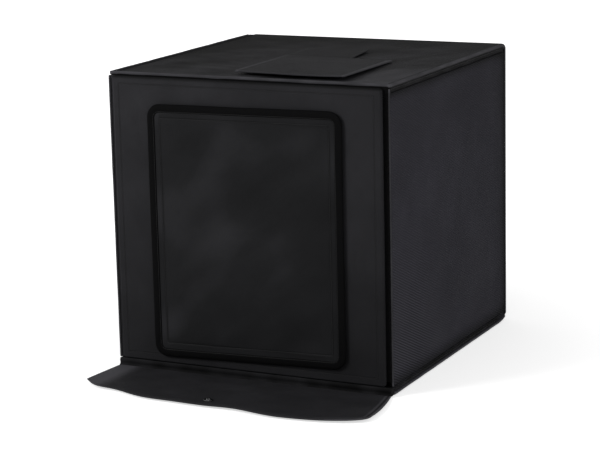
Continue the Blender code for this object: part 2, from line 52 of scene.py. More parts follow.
class Wire:
    # One output socket. Sums and products of wires add Math nodes.
    def __init__(self, socket):
        self.socket = socket

    def node(self, kind, settings=None, sockets=None, out=0):
        made = self.socket.id_data.nodes.new("ShaderNode" + kind)
        for key, value in (settings or {}).items():
            if key == "stops":
                ramp = made.color_ramp
                ramp.elements[0].position, ramp.elements[0].color = value[0]
                ramp.elements[1].position, ramp.elements[1].color = value[-1]
                for position, colour in value[1:-1]:
                    ramp.elements.new(position).color = colour
            else:
                setattr(made, key, value)
        for key, value in (sockets or {}).items():
            plug(made.inputs[key], value)
        return Wire(made.outputs[out])

    def math(self, operation, *others):
        return self.node("Math", {"operation": operation}, dict(enumerate((self, *others))))

    def __add__(self, other):
        return self.math("ADD", other)

    def __sub__(self, other):
        return self.math("SUBTRACT", other)

    def __rsub__(self, other):
        return self.node("Math", {"operation": "SUBTRACT"}, {0: other, 1: self})

    def __mul__(self, other):
        return self.math("MULTIPLY", other)

    __radd__ = __add__
    __rmul__ = __mul__

    def clamped(self):
        return self.node("Clamp", sockets={0: self})

    # Soft step from 0 to 1 between two values
    def step(self, low, high):
        return self.node("MapRange", {"interpolation_type": "SMOOTHSTEP"},
                         {0: self, 1: low, 2: high, 3: 0.0, 4: 1.0})

    # A vector's three parts
    def parts(self):
        split = self.node("SeparateXYZ", sockets={0: self}).socket.node
        return [Wire(output) for output in split.outputs]

    def noise(self, size, detail=2.0, roughness=0.5, out=0):
        return self.node("TexNoise", sockets={"Vector": self, "Scale": 1 / size, "Detail": detail,
                                              "Roughness": roughness}, out=out)

    # This wire is the factor between two colours
    def colours(self, first, second):
        return self.node("Mix", {"data_type": "RGBA"}, {0: self, 6: opaque(first), 7: opaque(second)}, 2)


def opaque(colour):
    return (*colour, 1.0) if isinstance(colour, tuple) and len(colour) == 3 else colour


def plug(socket, value):
    if isinstance(value, Wire):
        socket.id_data.links.new(value.socket, socket)
    else:
        socket.default_value = value


def surfaceOf(material):
    return material.node_tree.nodes["Principled BSDF"].inputs


def openFinish(name, fixed):
    material = bpy.data.materials.new(name)
    material.use_nodes = True
    for key, value in fixed.items():
        surfaceOf(material)[key].default_value = value
    place = material.node_tree.nodes.new("ShaderNodeTexCoord").outputs["Object"]
    return material, Wire(place)


# Colour, roughness and relief of a finish. The depth is how many metres one unit of height stands for.
def dressed(material, colour, roughness, height, depth, strength=1.0):
    surface = surfaceOf(material)
    plug(surface["Base Color"], colour)
    plug(surface["Roughness"], roughness)
    plug(surface["Normal"],
         height.node("Bump", sockets={"Strength": strength, "Distance": depth, "Height": height}))
    return material


# Place pushed about a little, so that no thread runs dead straight
def wandering(place, size, far):
    stray = place.noise(size, 1.0, out=1)
    centred = place.node("VectorMath", {"operation": "SUBTRACT"}, {0: stray, 1: (0.5, 0.5, 0.5)})
    scaled = place.node("VectorMath", {"operation": "SCALE"}, {0: centred, "Scale": far})
    return place.node("VectorMath", {"operation": "ADD"}, {0: place, 1: scaled})


# Finishes

# Wear and painted shading are stored point by point on a mesh: above 0 rubbed pale and painted highlight,
# below 0 painted shade in folds, hollows and under edges
blackCloth = {
    "tone": (0.0158, 0.0156, 0.0175), "worn": (0.0222, 0.0219, 0.0244), "patch": 0.075,
    "rubbedAndHighlit": (0.062, 0.061, 0.068), "paintedShade": (0.0024, 0.0024, 0.0026),
    "roughness": 0.70, "roughDrift": 0.10, "gloss": 0.10, "fleck": 0.0016,
    "thread": 0.0011, "threadHigh": 0.00013, "rib": 0.0,
}
ribbedCloth = {
    **blackCloth, "tone": (0.0190, 0.0183, 0.0238), "worn": (0.0258, 0.0249, 0.0322),
    "roughness": 0.72, "thread": 0.0013, "rib": 0.0036, "ribHigh": 0.00048, "ribSlant": 0.44,
    # The rib colours are painted shade between the ribs and painted highlight on their crests
    "ribShade": (0.0082, 0.0079, 0.0104), "ribHighlight": (0.0405, 0.0392, 0.0505), "ribEven": 0.14,
    "stripesUpTo": (0.06, 0.24), "stripesBackTo": (-0.15, 0.0),   # where the painted rib stripes fade out
}
windowCloth = {
    **blackCloth, "tone": (0.0090, 0.0091, 0.0100), "worn": (0.0127, 0.0128, 0.0140),
    "roughness": 0.68, "thread": 0.0009, "threadHigh": 0.00010, "patch": 0.11,
}


def clothFinish(name, look):
    material, place = openFinish(name, {"Specular IOR Level": look["gloss"]})
    drift = place.noise(look["patch"], 3.0, 0.55)
    fleck = place.noise(look["fleck"], 2.0, 0.6)
    spun = wandering(place, 0.012, 0.0008)
    turn = 2 * math.pi / look["thread"]
    x, y, z = [(part * turn).math("SINE") for part in spun.parts()]
    threads = (x * y + y * z + z * x) * 0.5 + 0.5
    shade = (drift.step(0.35, 0.65) * 0.65 + fleck.step(0.3, 0.7) * 0.35).clamped()
    colour = shade.colours(look["tone"], look["worn"])
    height = threads + fleck * 0.6
    depth = look["threadHigh"]
    if look["rib"]:
        _, across, up = spun.parts()
        wave = ((across * look["ribSlant"] + up) * (2 * math.pi / look["rib"])).math("SINE")
        ribs = wave * 0.5 + 0.5
        height = height + ribs * (look["ribHigh"] / depth)
        # Rib stripes of painted highlight on the crests and painted shade between them, strongest low down
        # at the front and fainter elsewhere
        _, back, ground = place.parts()
        stripeStrength = (1 - ground.step(*look["stripesUpTo"])) * (1 - back.step(*look["stripesBackTo"]))
        stripeStrength = stripeStrength * drift.step(0.30, 0.55)
        ribShading = ribs.colours(look["ribShade"], look["ribHighlight"])
        colour = (stripeStrength * (1 - look["ribEven"]) + look["ribEven"]).colours(colour, ribShading)
    # Above 0 the colour goes towards the rubbed pale tone that also paints highlights, below 0 towards the
    # painted shade
    wear = place.node("Attribute", {"attribute_name": "wear"}, out=2)
    colour = wear.clamped().colours(colour, look["rubbedAndHighlit"])
    colour = (wear * -1).clamped().colours(colour, look["paintedShade"])
    roughness = look["roughness"] + look["roughDrift"] * (fleck - 0.5)
    return dressed(material, colour, roughness, height, depth)


bindingTape = {"tone": (0.0016, 0.0016, 0.0018), "ridge": (0.0034, 0.0033, 0.0036), "pitch": 0.0012,
               "roughness": 0.58, "high": 0.00018}


# Grosgrain: fine ridges across the tape, seen on its face from any side
def bindingFinish(name, look):
    material, place = openFinish(name, {"Specular IOR Level": 0.04})
    x, _, z = wandering(place, 0.02, 0.0006).parts()
    turn = 2 * math.pi / look["pitch"]
    ridges = ((x + z) * turn).math("SINE") * ((x - z) * turn).math("SINE") * 0.5 + 0.5
    fuzz = place.noise(0.0012, 2.0)
    colour = (ridges * 0.7 + fuzz * 0.3).colours(look["tone"], look["ridge"])
    roughness = look["roughness"] + 0.12 * (fuzz - 0.5)
    return dressed(material, colour, roughness, ridges + fuzz * 0.5, look["high"])


loopTape = {"tone": (0.0018, 0.0018, 0.0020), "tip": (0.0075, 0.0072, 0.0078), "loop": 0.0011,
            "high": 0.0006}


# Hook and loop: a mat of small loops, matt, with painted shade in its depth, so its loop crowns read paler
def loopFinish(name, look):
    material, place = openFinish(name, {"Specular IOR Level": 0.04})
    loops = place.node("TexVoronoi", {"feature": "F1"}, {"Vector": wandering(place, 0.004, 0.0015),
                                                        "Scale": 1 / look["loop"]})
    crown = (1 - loops).clamped()
    fuzz = place.noise(0.0006, 3.0, 0.7)
    colour = (crown * 0.6 + fuzz * 0.4).clamped().colours(look["tone"], look["tip"])
    return dressed(material, colour, 0.88 + 0.1 * fuzz, crown + fuzz * 0.7, look["high"])


silverSheet = {"tone": (0.58, 0.59, 0.60), "bright": (0.68, 0.69, 0.70), "crease": 0.045,
               "high": 0.0004, "metal": 0.7}


# Metallised lining: thin creases over a fine weave
def silverFinish(name, look):
    material, place = openFinish(name, {"Metallic": look["metal"]})
    crumple = wandering(place, 0.05, 0.03).noise(look["crease"], 3.0, 0.6)
    facets = (crumple - 0.5).math("ABSOLUTE").step(0.0, 0.08)
    grain = place.noise(0.0012, 2.0)
    colour = (facets * 0.6 + grain * 0.4).colours(look["tone"], look["bright"])
    return dressed(material, colour, 0.28 + 0.14 * grain, facets + grain * 0.15, look["high"], 0.6)


pressedBoard = {"tone": (0.46, 0.40, 0.31), "pale": (0.60, 0.54, 0.44), "fibre": 0.004, "high": 0.00015}


# Grey-brown pressed board with short fibres lying in its face
def boardFinish(name, look):
    material, place = openFinish(name, {"Specular IOR Level": 0.25})
    streak = place.node("Mapping", sockets={"Vector": place, "Scale": (1.0, 1.0, 0.25)})
    fibres = streak.noise(look["fibre"], 5.0, 0.7)
    cloud = place.noise(0.05, 2.0)
    shade = fibres.step(0.35, 0.7) * 0.7 + cloud * 0.3
    colour = shade.colours(look["tone"], look["pale"])
    return dressed(material, colour, 0.72 + 0.16 * fibres, fibres, look["high"])


darkMetal = {"tone": (0.22, 0.22, 0.225), "rubAndHighlight": (0.85, 0.85, 0.86), "roughness": 0.16, "high": 0.00003}


# Black nickel, rubbed brighter in small spots, made bright enough to paint glints as well as wear
def metalFinish(name, look):
    material, place = openFinish(name, {"Metallic": 1.0})
    rubbedAndHighlit = place.noise(0.003, 4.0, 0.65)
    colour = rubbedAndHighlit.step(0.5, 0.75).colours(look["tone"], look["rubAndHighlight"])
    pitted = place.noise(0.0008, 2.0)
    return dressed(material, colour, look["roughness"] + 0.18 * rubbedAndHighlit, pitted, look["high"])


drawnAluminium = {"tone": (0.62, 0.62, 0.64), "bright": (0.80, 0.80, 0.81), "roughness": 0.30,
                  "high": 0.00004}


# Extruded along X, so its die lines run along X
def aluminiumFinish(name, look):
    material, place = openFinish(name, {"Metallic": 1.0})
    drawn = place.node("Mapping", sockets={"Vector": place, "Scale": (0.01, 1.0, 1.0)})
    lines = drawn.noise(0.0007, 3.0, 0.6)
    colour = lines.colours(look["tone"], look["bright"])
    return dressed(material, colour, look["roughness"] + 0.2 * lines, lines, look["high"])


lightBoard = {"mask": (0.80, 0.80, 0.76), "lens": (0.86, 0.70, 0.22), "frame": (0.90, 0.90, 0.88),
              "pitch": 0.0088, "half": 0.00175, "lensHalf": 0.0012, "high": 0.00003}


# White board with a row of light packages, each with a yellow lens in a white frame
def lightBoardFinish(name, look, middleY):
    material, place = openFinish(name, {"Specular IOR Level": 0.5})
    x, y, _ = place.parts()
    pitch = look["pitch"]
    fromX = ((x + 0.5 * pitch).math("WRAP", pitch, 0.0) - 0.5 * pitch).math("ABSOLUTE")
    fromY = (y - middleY).math("ABSOLUTE")
    reach = fromX.math("MAXIMUM", fromY)
    package = 1 - reach.step(look["half"], look["half"] + 0.0001)
    lens = 1 - reach.step(look["lensHalf"], look["lensHalf"] + 0.0002)
    grain = place.noise(0.0008, 2.0)
    framed = package.colours(look["mask"], look["frame"])
    colour = lens.colours(framed, look["lens"])
    return dressed(material, colour, 0.42 + 0.12 * grain - 0.2 * lens, grain, look["high"])


mouldedBlack = {"tone": (0.012, 0.012, 0.0125), "pale": (0.019, 0.019, 0.020), "roughness": 0.42,
                "high": 0.00006}


# Moulded black plastic with a fine spark-eroded grain
def plasticFinish(name, look):
    material, place = openFinish(name, {"Specular IOR Level": 0.4})
    grain = place.noise(0.0009, 3.0, 0.6)
    colour = grain.colours(look["tone"], look["pale"])
    return dressed(material, colour, look["roughness"] + 0.15 * (grain - 0.5), grain, look["high"])


blackThread = {"tone": (0.006, 0.006, 0.0065), "ply": (0.015, 0.015, 0.016), "twist": 0.0007,
               "high": 0.00008}


# Twisted polyester thread
def threadFinish(name, look):
    material, place = openFinish(name, {"Specular IOR Level": 0.35, "Sheen Weight": 0.1})
    x, y, z = place.parts()
    plies = ((x + y * 0.7 + z) * (2 * math.pi / look["twist"])).math("SINE") * 0.5 + 0.5
    colour = plies.colours(look["tone"], look["ply"])
    return dressed(material, colour, 0.5 + 0.15 * plies, plies, look["high"])


finishes = {
    "black": clothFinish("blackCloth", blackCloth),
    "ribbed": clothFinish("ribbedCloth", ribbedCloth),
    "window": clothFinish("windowCloth", windowCloth),
    "binding": bindingFinish("bindingTape", bindingTape),
    "loop": loopFinish("loopTape", loopTape),
    "silver": silverFinish("silverLining", silverSheet),
    "board": boardFinish("pressedBoard", pressedBoard),
    "metal": metalFinish("darkMetal", darkMetal),
    "aluminium": aluminiumFinish("drawnAluminium", drawnAluminium),
    "plastic": plasticFinish("mouldedBlack", mouldedBlack),
    "thread": threadFinish("blackThread", blackThread),
}
print("finishes made:", len(finishes))


# Making pieces

smoothBelow = math.radians(40)   # edges sharper than this stay sharp

# Three directions of a flat side: across it, up it and out of it
sides = {
    "front": ((1, 0, 0), (0, 0, 1), (0, -1, 0)),
    "back": ((-1, 0, 0), (0, 0, 1), (0, 1, 0)),
    "right": ((0, 1, 0), (0, 0, 1), (1, 0, 0)),
    "left": ((0, -1, 0), (0, 0, 1), (-1, 0, 0)),
    "top": ((1, 0, 0), (0, 1, 0), (0, 0, 1)),
    "under": ((1, 0, 0), (0, -1, 0), (0, 0, -1)),
}


def addPiece(name, builder, finish, body, replaced=(), frameMatrix=None, wear=None):
    # The function, when given, stores painted wear and shading on every point
    if wear:
        layer = builder.verts.layers.float.new("wear")
        for vertex in builder.verts:
            vertex[layer] = wear(vertex.co)
    if frameMatrix:
        bmesh.ops.transform(builder, matrix=frameMatrix, verts=builder.verts)
    bmesh.ops.recalc_face_normals(builder, faces=builder.faces)
    mesh = bpy.data.meshes.new(name)
    builder.to_mesh(mesh)
    builder.free()
    mesh.shade_smooth()
    mesh.set_sharp_from_angle(angle=smoothBelow)
    mesh.materials.append(finishes[finish])
    piece = bpy.data.objects.new(name, mesh)
    bpy.context.collection.objects.link(piece)
    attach(piece, body)
    if replaced:
        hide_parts(*replaced)
    return piece


# A node's own frame for one of its flat sides: matrix, half sizes and thickness
def sideOf(node, side):
    low, high = (Vector(corner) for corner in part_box(node))
    across, up, out = (Vector(axis) for axis in sides[side])
    middle = (low + high) / 2
    size = high - low
    half = [abs(size.dot(axis)) / 2 for axis in (across, up, out)]
    origin = middle + out * half[2]
    matrix = Matrix((across, up, out)).transposed().to_4x4()
    matrix.translation = origin
    return matrix, half[0], half[1], 2 * half[2]


def smoothstep(value, low, high):
    t = min(max((value - low) / (high - low), 0), 1)
    return t * t * (3 - 2 * t)


# Points round a rounded rectangle, from the middle of its right side leftwards over the top
def outline(halfU, halfV, radius, middle=(0, 0), sideSteps=40, cornerSteps=5):
    points = []
    corners = ((1, 1, 0), (-1, 1, 1), (-1, -1, 2), (1, -1, 3))
    for signU, signV, turn in corners:
        centre = Vector((signU * (halfU - radius), signV * (halfV - radius)))
        for step in range(cornerSteps + 1):
            angle = (turn + step / cornerSteps) * math.pi / 2
            points.append(centre + radius * Vector((math.cos(angle), math.sin(angle))))
        nextU, nextV, nextTurn = corners[(turn + 1) % 4]
        nextCentre = Vector((nextU * (halfU - radius), nextV * (halfV - radius)))
        angle = nextTurn * math.pi / 2
        start = points[-1]
        stop = nextCentre + radius * Vector((math.cos(angle), math.sin(angle)))
        for step in range(1, sideSteps):
            points.append(start.lerp(stop, step / sideSteps))
    return [point + Vector(middle) for point in points]


# Faces between two closed loops of points
def bridge(builder, lower, upper):
    for a, b, c, d in zip(lower, lower[1:] + lower[:1], upper[1:] + upper[:1], upper):
        builder.faces.new((a, b, c, d))


# Distances along a line of places
def runLengths(places):
    lengths = [0.0]
    for a, b in zip(places, places[1:]):
        lengths.append(lengths[-1] + (b - a).length)
    return lengths


# A smooth curve from b to c, drawn by the points on both sides of them
def curved(a, b, c, d, t):
    return b + t / 2 * (c - a + t * (2 * a - 5 * b + 4 * c - d + t * (3 * b - 3 * c + d - a)))


def loftRings(rings, closed=False, capped=False):
    builder = bmesh.new()
    loops = [[builder.verts.new(point) for point in ring] for ring in rings]
    for lower, upper in zip(loops, loops[1:]):
        bridge(builder, lower, upper)
    if closed:
        bridge(builder, loops[-1], loops[0])
    if capped:
        builder.faces.new(loops[0])
        builder.faces.new(loops[-1])
    return builder


# The rolled edge of a cloth face: insets and depths from the flat face round to the inner side
def rolledEdge(radius, thick, innerRadius=0.0006):
    turns = [(radius * (1 - math.sin(angle)), radius * (1 - math.cos(angle)))
             for angle in (0, 0.4, 0.8, 1.2, math.pi / 2)]
    turns.append((0, (radius + thick - innerRadius) / 2))
    turns.append((0, thick - innerRadius))
    turns.append((0.3 * innerRadius, thick - 0.3 * innerRadius))
    turns.append((innerRadius, thick))
    return turns


# Height of a cloth face above its flat plane, near zero along its edges
def clothHeight(look, u, v, halfU, halfV):
    edge = min(halfU - abs(u), halfV - abs(v))
    loose = smoothstep(edge, 0.003, look.get("calmEdge", 0.03))
    swell = look["swell"] * (1 - (u / halfU) ** 4) * (1 - (v / halfV) ** 4)
    slant = look.get("slant", 0.6)
    along = (u * math.cos(slant) + v * math.sin(slant)) / look["long"]
    over = (v * math.cos(slant) - u * math.sin(slant)) / look["short"]
    wave = look["wave"] * noise.fractal(Vector((along, over, look["seed"])), 0.9, 2.1, 3)
    height = swell * loose + wave * loose
    for zoneU, zoneV, zoneHalfU, zoneHalfV in look.get("flatZones", ()):
        outside = max(abs(u - zoneU) - zoneHalfU, abs(v - zoneV) - zoneHalfV)
        height = min(height, -look["sunk"]) if outside <= 0 else \
            min(height, -look["sunk"] + (height + look["sunk"]) * smoothstep(outside, 0, 0.02))
    for inset, depth in look.get("grooves", ()):
        height -= depth * math.exp(-((edge - inset) / look["grooveWidth"]) ** 2)
    return height


nearEdge = (0, 0.00055, 0.0011, 0.00165, 0.0022, 0.0034)
nearGroove = (-0.0026, -0.0018, -0.0012, -0.0006, 0, 0.0006, 0.0012, 0.0022)


# Distances from an edge where a grid needs its lines closer together
def fineSteps(grooves):
    steps = sorted([*nearEdge, *(inset + shift for inset, _ in grooves for shift in nearGroove)])
    return [step for step, before in zip(steps, [-1] + steps) if step - before > 0.0003]


def spread(half, fine, coarse):
    start = fine[-1] + coarse / 2
    count = max(int(2 * (half - start) / coarse), 2)
    middle = [-half + start + (2 * half - 2 * start) * i / count for i in range(count + 1)]
    return [-half + step for step in fine] + middle + [half - step for step in reversed(fine)]


# Moves a grid point near a square corner onto the rounded corner
def rounding(u, v, halfU, halfV, radius):
    over = Vector((abs(u) - (halfU - radius), abs(v) - (halfV - radius)))
    if min(over) <= 0 or radius <= 0:
        return u, v
    a, b = over / radius
    return (math.copysign(halfU - radius + radius * a * math.sqrt(1 - b * b / 2), u),
            math.copysign(halfV - radius + radius * b * math.sqrt(1 - a * a / 2), v))


# A cloth face without a hole, wrapped round the edges of what it covers
def wrappedFace(halfU, halfV, thick, look):
    roll = look["roll"]
    faceU, faceV, radius = halfU - roll, halfV - roll, look["corner"] - roll
    fine = fineSteps([(inset - roll, depth) for inset, depth in look.get("grooves", ())])
    columns = spread(faceU, fine, look["cell"])
    rows = spread(faceV, fine, look["cell"])
    builder = bmesh.new()
    grid = []
    for v in rows:
        line = []
        for u in columns:
            roundU, roundV = rounding(u, v, faceU, faceV, radius)
            line.append(builder.verts.new((roundU, roundV, clothHeight(look, u, v, halfU, halfV))))
        grid.append(line)
    for lower, upper in zip(grid, grid[1:]):
        for i in range(len(columns) - 1):
            builder.faces.new((lower[i], lower[i + 1], upper[i + 1], upper[i]))
    border = grid[0][:-1] + [line[-1] for line in grid[:-1]] + grid[-1][:0:-1] + \
        [line[0] for line in reversed(grid[1:])]
    edges = rolledEdge(roll, thick)
    if look.get("pocket"):
        edges += [(look["rim"], thick), (look["rim"], look["pocket"])]
    previous = border
    for inset, depth in edges[1:]:
        ring = []
        for vertex in border:
            flat = Vector((vertex.co.x, vertex.co.y))
            core = Vector((min(max(flat.x, radius - faceU), faceU - radius),
                           min(max(flat.y, radius - faceV), faceV - radius)))
            outward = (flat - core).normalized()
            spot = core + outward * (look["corner"] - inset)
            ring.append(builder.verts.new((spot.x, spot.y, -depth)))
        bridge(builder, previous, ring)
        previous = ring
    if not look.get("pocket"):
        # An underside of its own, in rings that shrink towards the middle
        rim = [vertex.co.copy() for vertex in previous]
        for share in (0.95, 0.86, 0.74, 0.6, 0.46, 0.32, 0.18, 0.06):
            ring = [builder.verts.new((place.x * share, place.y * share, place.z)) for place in rim]
            bridge(builder, previous, ring)
            previous = ring
    builder.faces.new(previous)
    return builder


crossingRings = 12   # from near the outer edge of a face to near its hole


# A cloth face with a rounded hole, wrapped round both edges
def holedFace(halfU, halfV, thick, look, hole):
    holeU, holeV, holeRadius, middle = hole
    roll = look["roll"]
    grooves = look.get("grooves", ())
    fine = [step + roll for step in fineSteps([(inset - roll, depth) for inset, depth in grooves])]

    def ringOf(points, depth):
        return [(p.x, p.y, clothHeight(look, p.x, p.y, halfU, halfV) if depth is None else -depth)
                for p in points]

    def outer(inset, depth=None):
        return ringOf(outline(halfU - inset, halfV - inset, max(look["corner"] - inset, 0.0012)), depth)

    def inner(inset, depth=None):
        return ringOf(outline(holeU + inset, holeV + inset, holeRadius + inset, middle), depth)

    rims = rolledEdge(roll, thick)
    rings = []
    if look.get("pocket"):
        rings += [outer(look["rim"], look["pocket"]), outer(look["rim"], thick)]
    rings += [outer(inset, depth) for inset, depth in reversed(rims[1:])]
    rings += [outer(inset) for inset in fine]
    start = outer(fine[-1] + 0.003)
    stop = inner(roll + 0.003)
    for step in range(crossingRings + 1):
        share = step / crossingRings
        ring = []
        for a, b in zip(start, stop):
            u, v = a[0] + (b[0] - a[0]) * share, a[1] + (b[1] - a[1]) * share
            ring.append((u, v, clothHeight(look, u, v, halfU, halfV)))
        rings.append(ring)
    rings += [inner(roll)]
    rings += [inner(inset, depth) for inset, depth in rims[1:]]
    if look.get("pocket"):
        rings += [inner(look["rim"], thick), inner(look["rim"], look["pocket"])]
    return loftRings(rings, closed=True)


# Painted wear and shading of a face: clouds of random tone, an even shift and a slope across it that paint
# light and shade, painted shade in its sewn grooves, and bands that fade from its edges.
# Each band in look["bands"] is (side, how far it reaches, its amount at the edge), below 0 painted shade
# and above 0 painted highlight with some rubbing.
def wearAndShadingOf(look, halfU, halfV):
    cloudU, cloudV = look.get("cloudSize", (0.09, 0.09))

    def wear(place):
        gaps = {"left": halfU + place.x, "right": halfU - place.x,
                "foot": halfV + place.y, "head": halfV - place.y}
        edge = min(gaps.values())
        spot = Vector(((place.x - place.y * 0.5) / cloudU, place.y / cloudV, look["seed"]))
        total = look.get("even", 0)
        total += look.get("clouds", 0.06) * noise.fractal(spot, 0.9, 2.1, 2)
        slopeU, slopeV = look.get("slope", (0, 0))
        total += slopeU * place.x / halfU + slopeV * place.y / halfV
        for side, reach, amount in look.get("bands", ()):
            total += amount * (1 - smoothstep(gaps[side], 0, reach))
        for inset, _ in look.get("grooves", ()):
            total -= look.get("grooveDark", 0.3) * math.exp(-((edge - inset) / look["grooveWidth"]) ** 2)
        return total

    return wear


def addPanel(name, node, side, finish, body, look, hole):
    matrix, halfU, halfV, thick = sideOf(node, side)
    if hole:
        builder = holedFace(halfU, halfV, thick, look, hole)
    else:
        builder = wrappedFace(halfU, halfV, thick, look)
    wear = wearAndShadingOf(look, halfU, halfV) if finish != "silver" else None
    return addPiece(name, builder, finish, body, [node], matrix, wear)


# Stitching

stitch = {"length": 0.0027, "pitch": 0.0036, "radius": 0.00034, "sides": 5}


# A row of single stitches along a line of (place, outward direction) pairs
def stitchRow(builder, line):
    spots = [Vector(place) for place, _ in line]
    outs = [Vector(out) for _, out in line]
    lengths = runLengths(spots)
    count = int(lengths[-1] / stitch["pitch"])
    slack = (lengths[-1] - count * stitch["pitch"]) / 2

    def at(length):
        i = 0
        while i < len(spots) - 2 and lengths[i + 1] < length:
            i += 1
        share = (length - lengths[i]) / max(lengths[i + 1] - lengths[i], 1e-9)
        return spots[i].lerp(spots[i + 1], share), outs[i].lerp(outs[i + 1], share).normalized()

    radius = stitch["radius"]
    for number in range(count):
        middle = slack + (number + 0.5) * stitch["pitch"]
        start, out = at(middle - stitch["length"] / 2)
        stop, _ = at(middle + stitch["length"] / 2)
        axis = (stop - start).normalized()
        side = axis.cross(out).normalized()
        out = side.cross(axis)
        loops = []
        for share, size, lift in ((0.16, 0.8, 0.25), (0.5, 1.0, 0.6), (0.84, 0.8, 0.25)):
            centre = start.lerp(stop, share) + out * radius * lift
            loop = []
            for k in range(stitch["sides"]):
                angle = 2 * math.pi * k / stitch["sides"]
                spoke = math.cos(angle) * side + math.sin(angle) * out
                loop.append(builder.verts.new(centre + radius * size * spoke))
            loops.append(loop)
        tips = [builder.verts.new(spot - out * radius * 0.7) for spot in (start, stop)]
        for lower, upper in zip(loops, loops[1:]):
            bridge(builder, lower, upper)
        for tip, loop in ((tips[0], loops[0]), (tips[1], loops[-1])):
            for a, b in zip(loop, loop[1:] + loop[:1]):
                builder.faces.new((tip, a, b))


def addStitches(name, lines, body):
    builder = bmesh.new()
    for line in lines:
        stitchRow(builder, line)
    return addPiece(name, builder, "thread", body)


# A closed row of stitches at one inset from a panel's outer edge, lying on its cloth
def hemLine(node, side, look, inset):
    matrix, halfU, halfV, _ = sideOf(node, side)
    turn = matrix.to_3x3()
    points = outline(halfU - inset, halfV - inset, 0.0025)
    line = []
    for p in points + points[:1]:
        height = clothHeight(look, p.x, p.y, halfU, halfV)
        line.append((matrix @ Vector((p.x, p.y, height)), turn @ Vector((0, 0, 1))))
    return line


# Strips, edgings and tapes

axes = {"Y": (0, 2), "Z": (0, 1)}   # the two directions across a strip
seamLook = {"fine": 0.0006, "cell": 0.006, "sway": 0.00012, "endDraw": 0.0007}


# A sewn strip that fills a node's box, its long edge between the box's two low sides the most rounded
def stripRings(node, axis, roll, seed):
    low, high = (Vector(corner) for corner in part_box(node))
    first, second = axes[axis]
    along = "XYZ".index(axis)
    section = []
    for turn, signs in enumerate(((1, 1), (-1, 1), (-1, -1), (1, -1))):
        radius = roll if signs == (-1, -1) else seamLook["fine"]
        centre = [(high if sign > 0 else low)[i] - sign * radius for sign, i in zip(signs, (first, second))]
        for step in range(7):
            angle = (turn + step / 6) * math.pi / 2
            section.append((centre[0] + radius * math.cos(angle), centre[1] + radius * math.sin(angle)))
    middle = [(low[i] + high[i]) / 2 for i in (first, second)]
    count = max(int((high[along] - low[along]) / seamLook["cell"]), 2)
    rings = []
    for step in range(count + 1):
        place = low[along] + (high[along] - low[along]) * step / count
        shrink = seamLook["endDraw"] if step in (0, count) else 0.0
        shrink += seamLook["sway"] * (1 + noise.noise(Vector((place / 0.03, seed, 4.2))))
        ring = []
        for a, b in section:
            spot = Vector((0, 0, 0))
            spot[along] = place
            spot[first] = a - math.copysign(min(shrink, abs(a - middle[0])), a - middle[0])
            spot[second] = b - math.copysign(min(shrink, abs(b - middle[1])), b - middle[1])
            ring.append(spot)
        rings.append(ring)
    return rings


# A closed smooth line through (across, up, wear) points
def smoothLoop(points, steps=3):
    count = len(points)
    loop = []
    for i in range(count):
        a, b, c, d = (Vector(points[(i + shift) % count]) for shift in (-1, 0, 1, 2))
        loop += [curved(a, b, c, d, step / steps) for step in range(steps)]
    return loop


# An edging's step along its line, how far it strays, how full its ends are and how much painted highlight
# and rubbing its tips get
edgingLook = {"cell": 0.005, "stray": 0.00025, "ends": 0.75, "tips": 0.6}


# Sewn edging: a closed section drawn along a line of places, with its first number outwards.
# Each section point is (out, up, wear and shading), and paler adds to it towards the line's start.
def edgingBuilder(places, section, outSide, seed, paler):
    stray, ends, tips = (edgingLook[key] for key in ("stray", "ends", "tips"))
    builder = bmesh.new()
    layer = builder.verts.layers.float.new("wear")
    loop = smoothLoop(section)
    middle = sum(loop, Vector((0, 0, 0))) / len(loop)
    lengths = runLengths(places)
    rings = []
    for i, place in enumerate(places):
        axis = (places[min(i + 1, len(places) - 1)] - places[max(i - 1, 0)]).normalized()
        upward = Vector((0, 0, 1)) if abs(axis.z) < 0.7 else Vector((0, -1, 0))
        outward = axis.cross(upward).normalized() * outSide
        end = min(lengths[i], lengths[-1] - lengths[i])
        size = ends + (1 - ends) * math.sqrt(min(end / 0.0012, 1))
        shift = stray * noise.noise(Vector((lengths[i] / 0.035, seed, 1.7)))
        sink = stray * noise.noise(Vector((lengths[i] / 0.028, seed, 6.1)))
        # How strongly the painted highlight, painted shade and wear show, varying along the line
        rubAndHighlight = 1 + 0.55 * noise.noise(Vector((lengths[i] / 0.022, seed, 9.4)))
        ring = []
        for point in loop:
            spot = middle + (point - middle) * size
            vertex = builder.verts.new(place + outward * (spot.x + shift) + upward * (spot.y + sink))
            wear = point.z * rubAndHighlight
            if point.z > 0:
                wear += tips * (1 - smoothstep(end, 0.001, 0.006))
            vertex[layer] = wear + paler * (1 - lengths[i] / lengths[-1])
            ring.append(vertex)
        rings.append(ring)
    for lower, upper in zip(rings, rings[1:]):
        bridge(builder, lower, upper)
    builder.faces.new(rings[0])
    builder.faces.new(rings[-1])
    return builder


# Places along a straight line, closer together at its ends and then bent by a function of the place
def straightPlaces(start, stop, bend):
    start, stop = Vector(start), Vector(stop)
    length = (stop - start).length
    count = max(int(length / edgingLook["cell"]), 2)
    ends = [0, 0.0003, 0.0009]
    steps = ends + [length * i / count for i in range(1, count)] + [length - end for end in reversed(ends)]
    places = [start + (stop - start) * (step / length) for step in steps]
    return [place + Vector(bend(place)) for place in places] if bend else places


tapeLook = {"selvedge": 0.0014, "cell": 0.005, "ripple": 0.06}


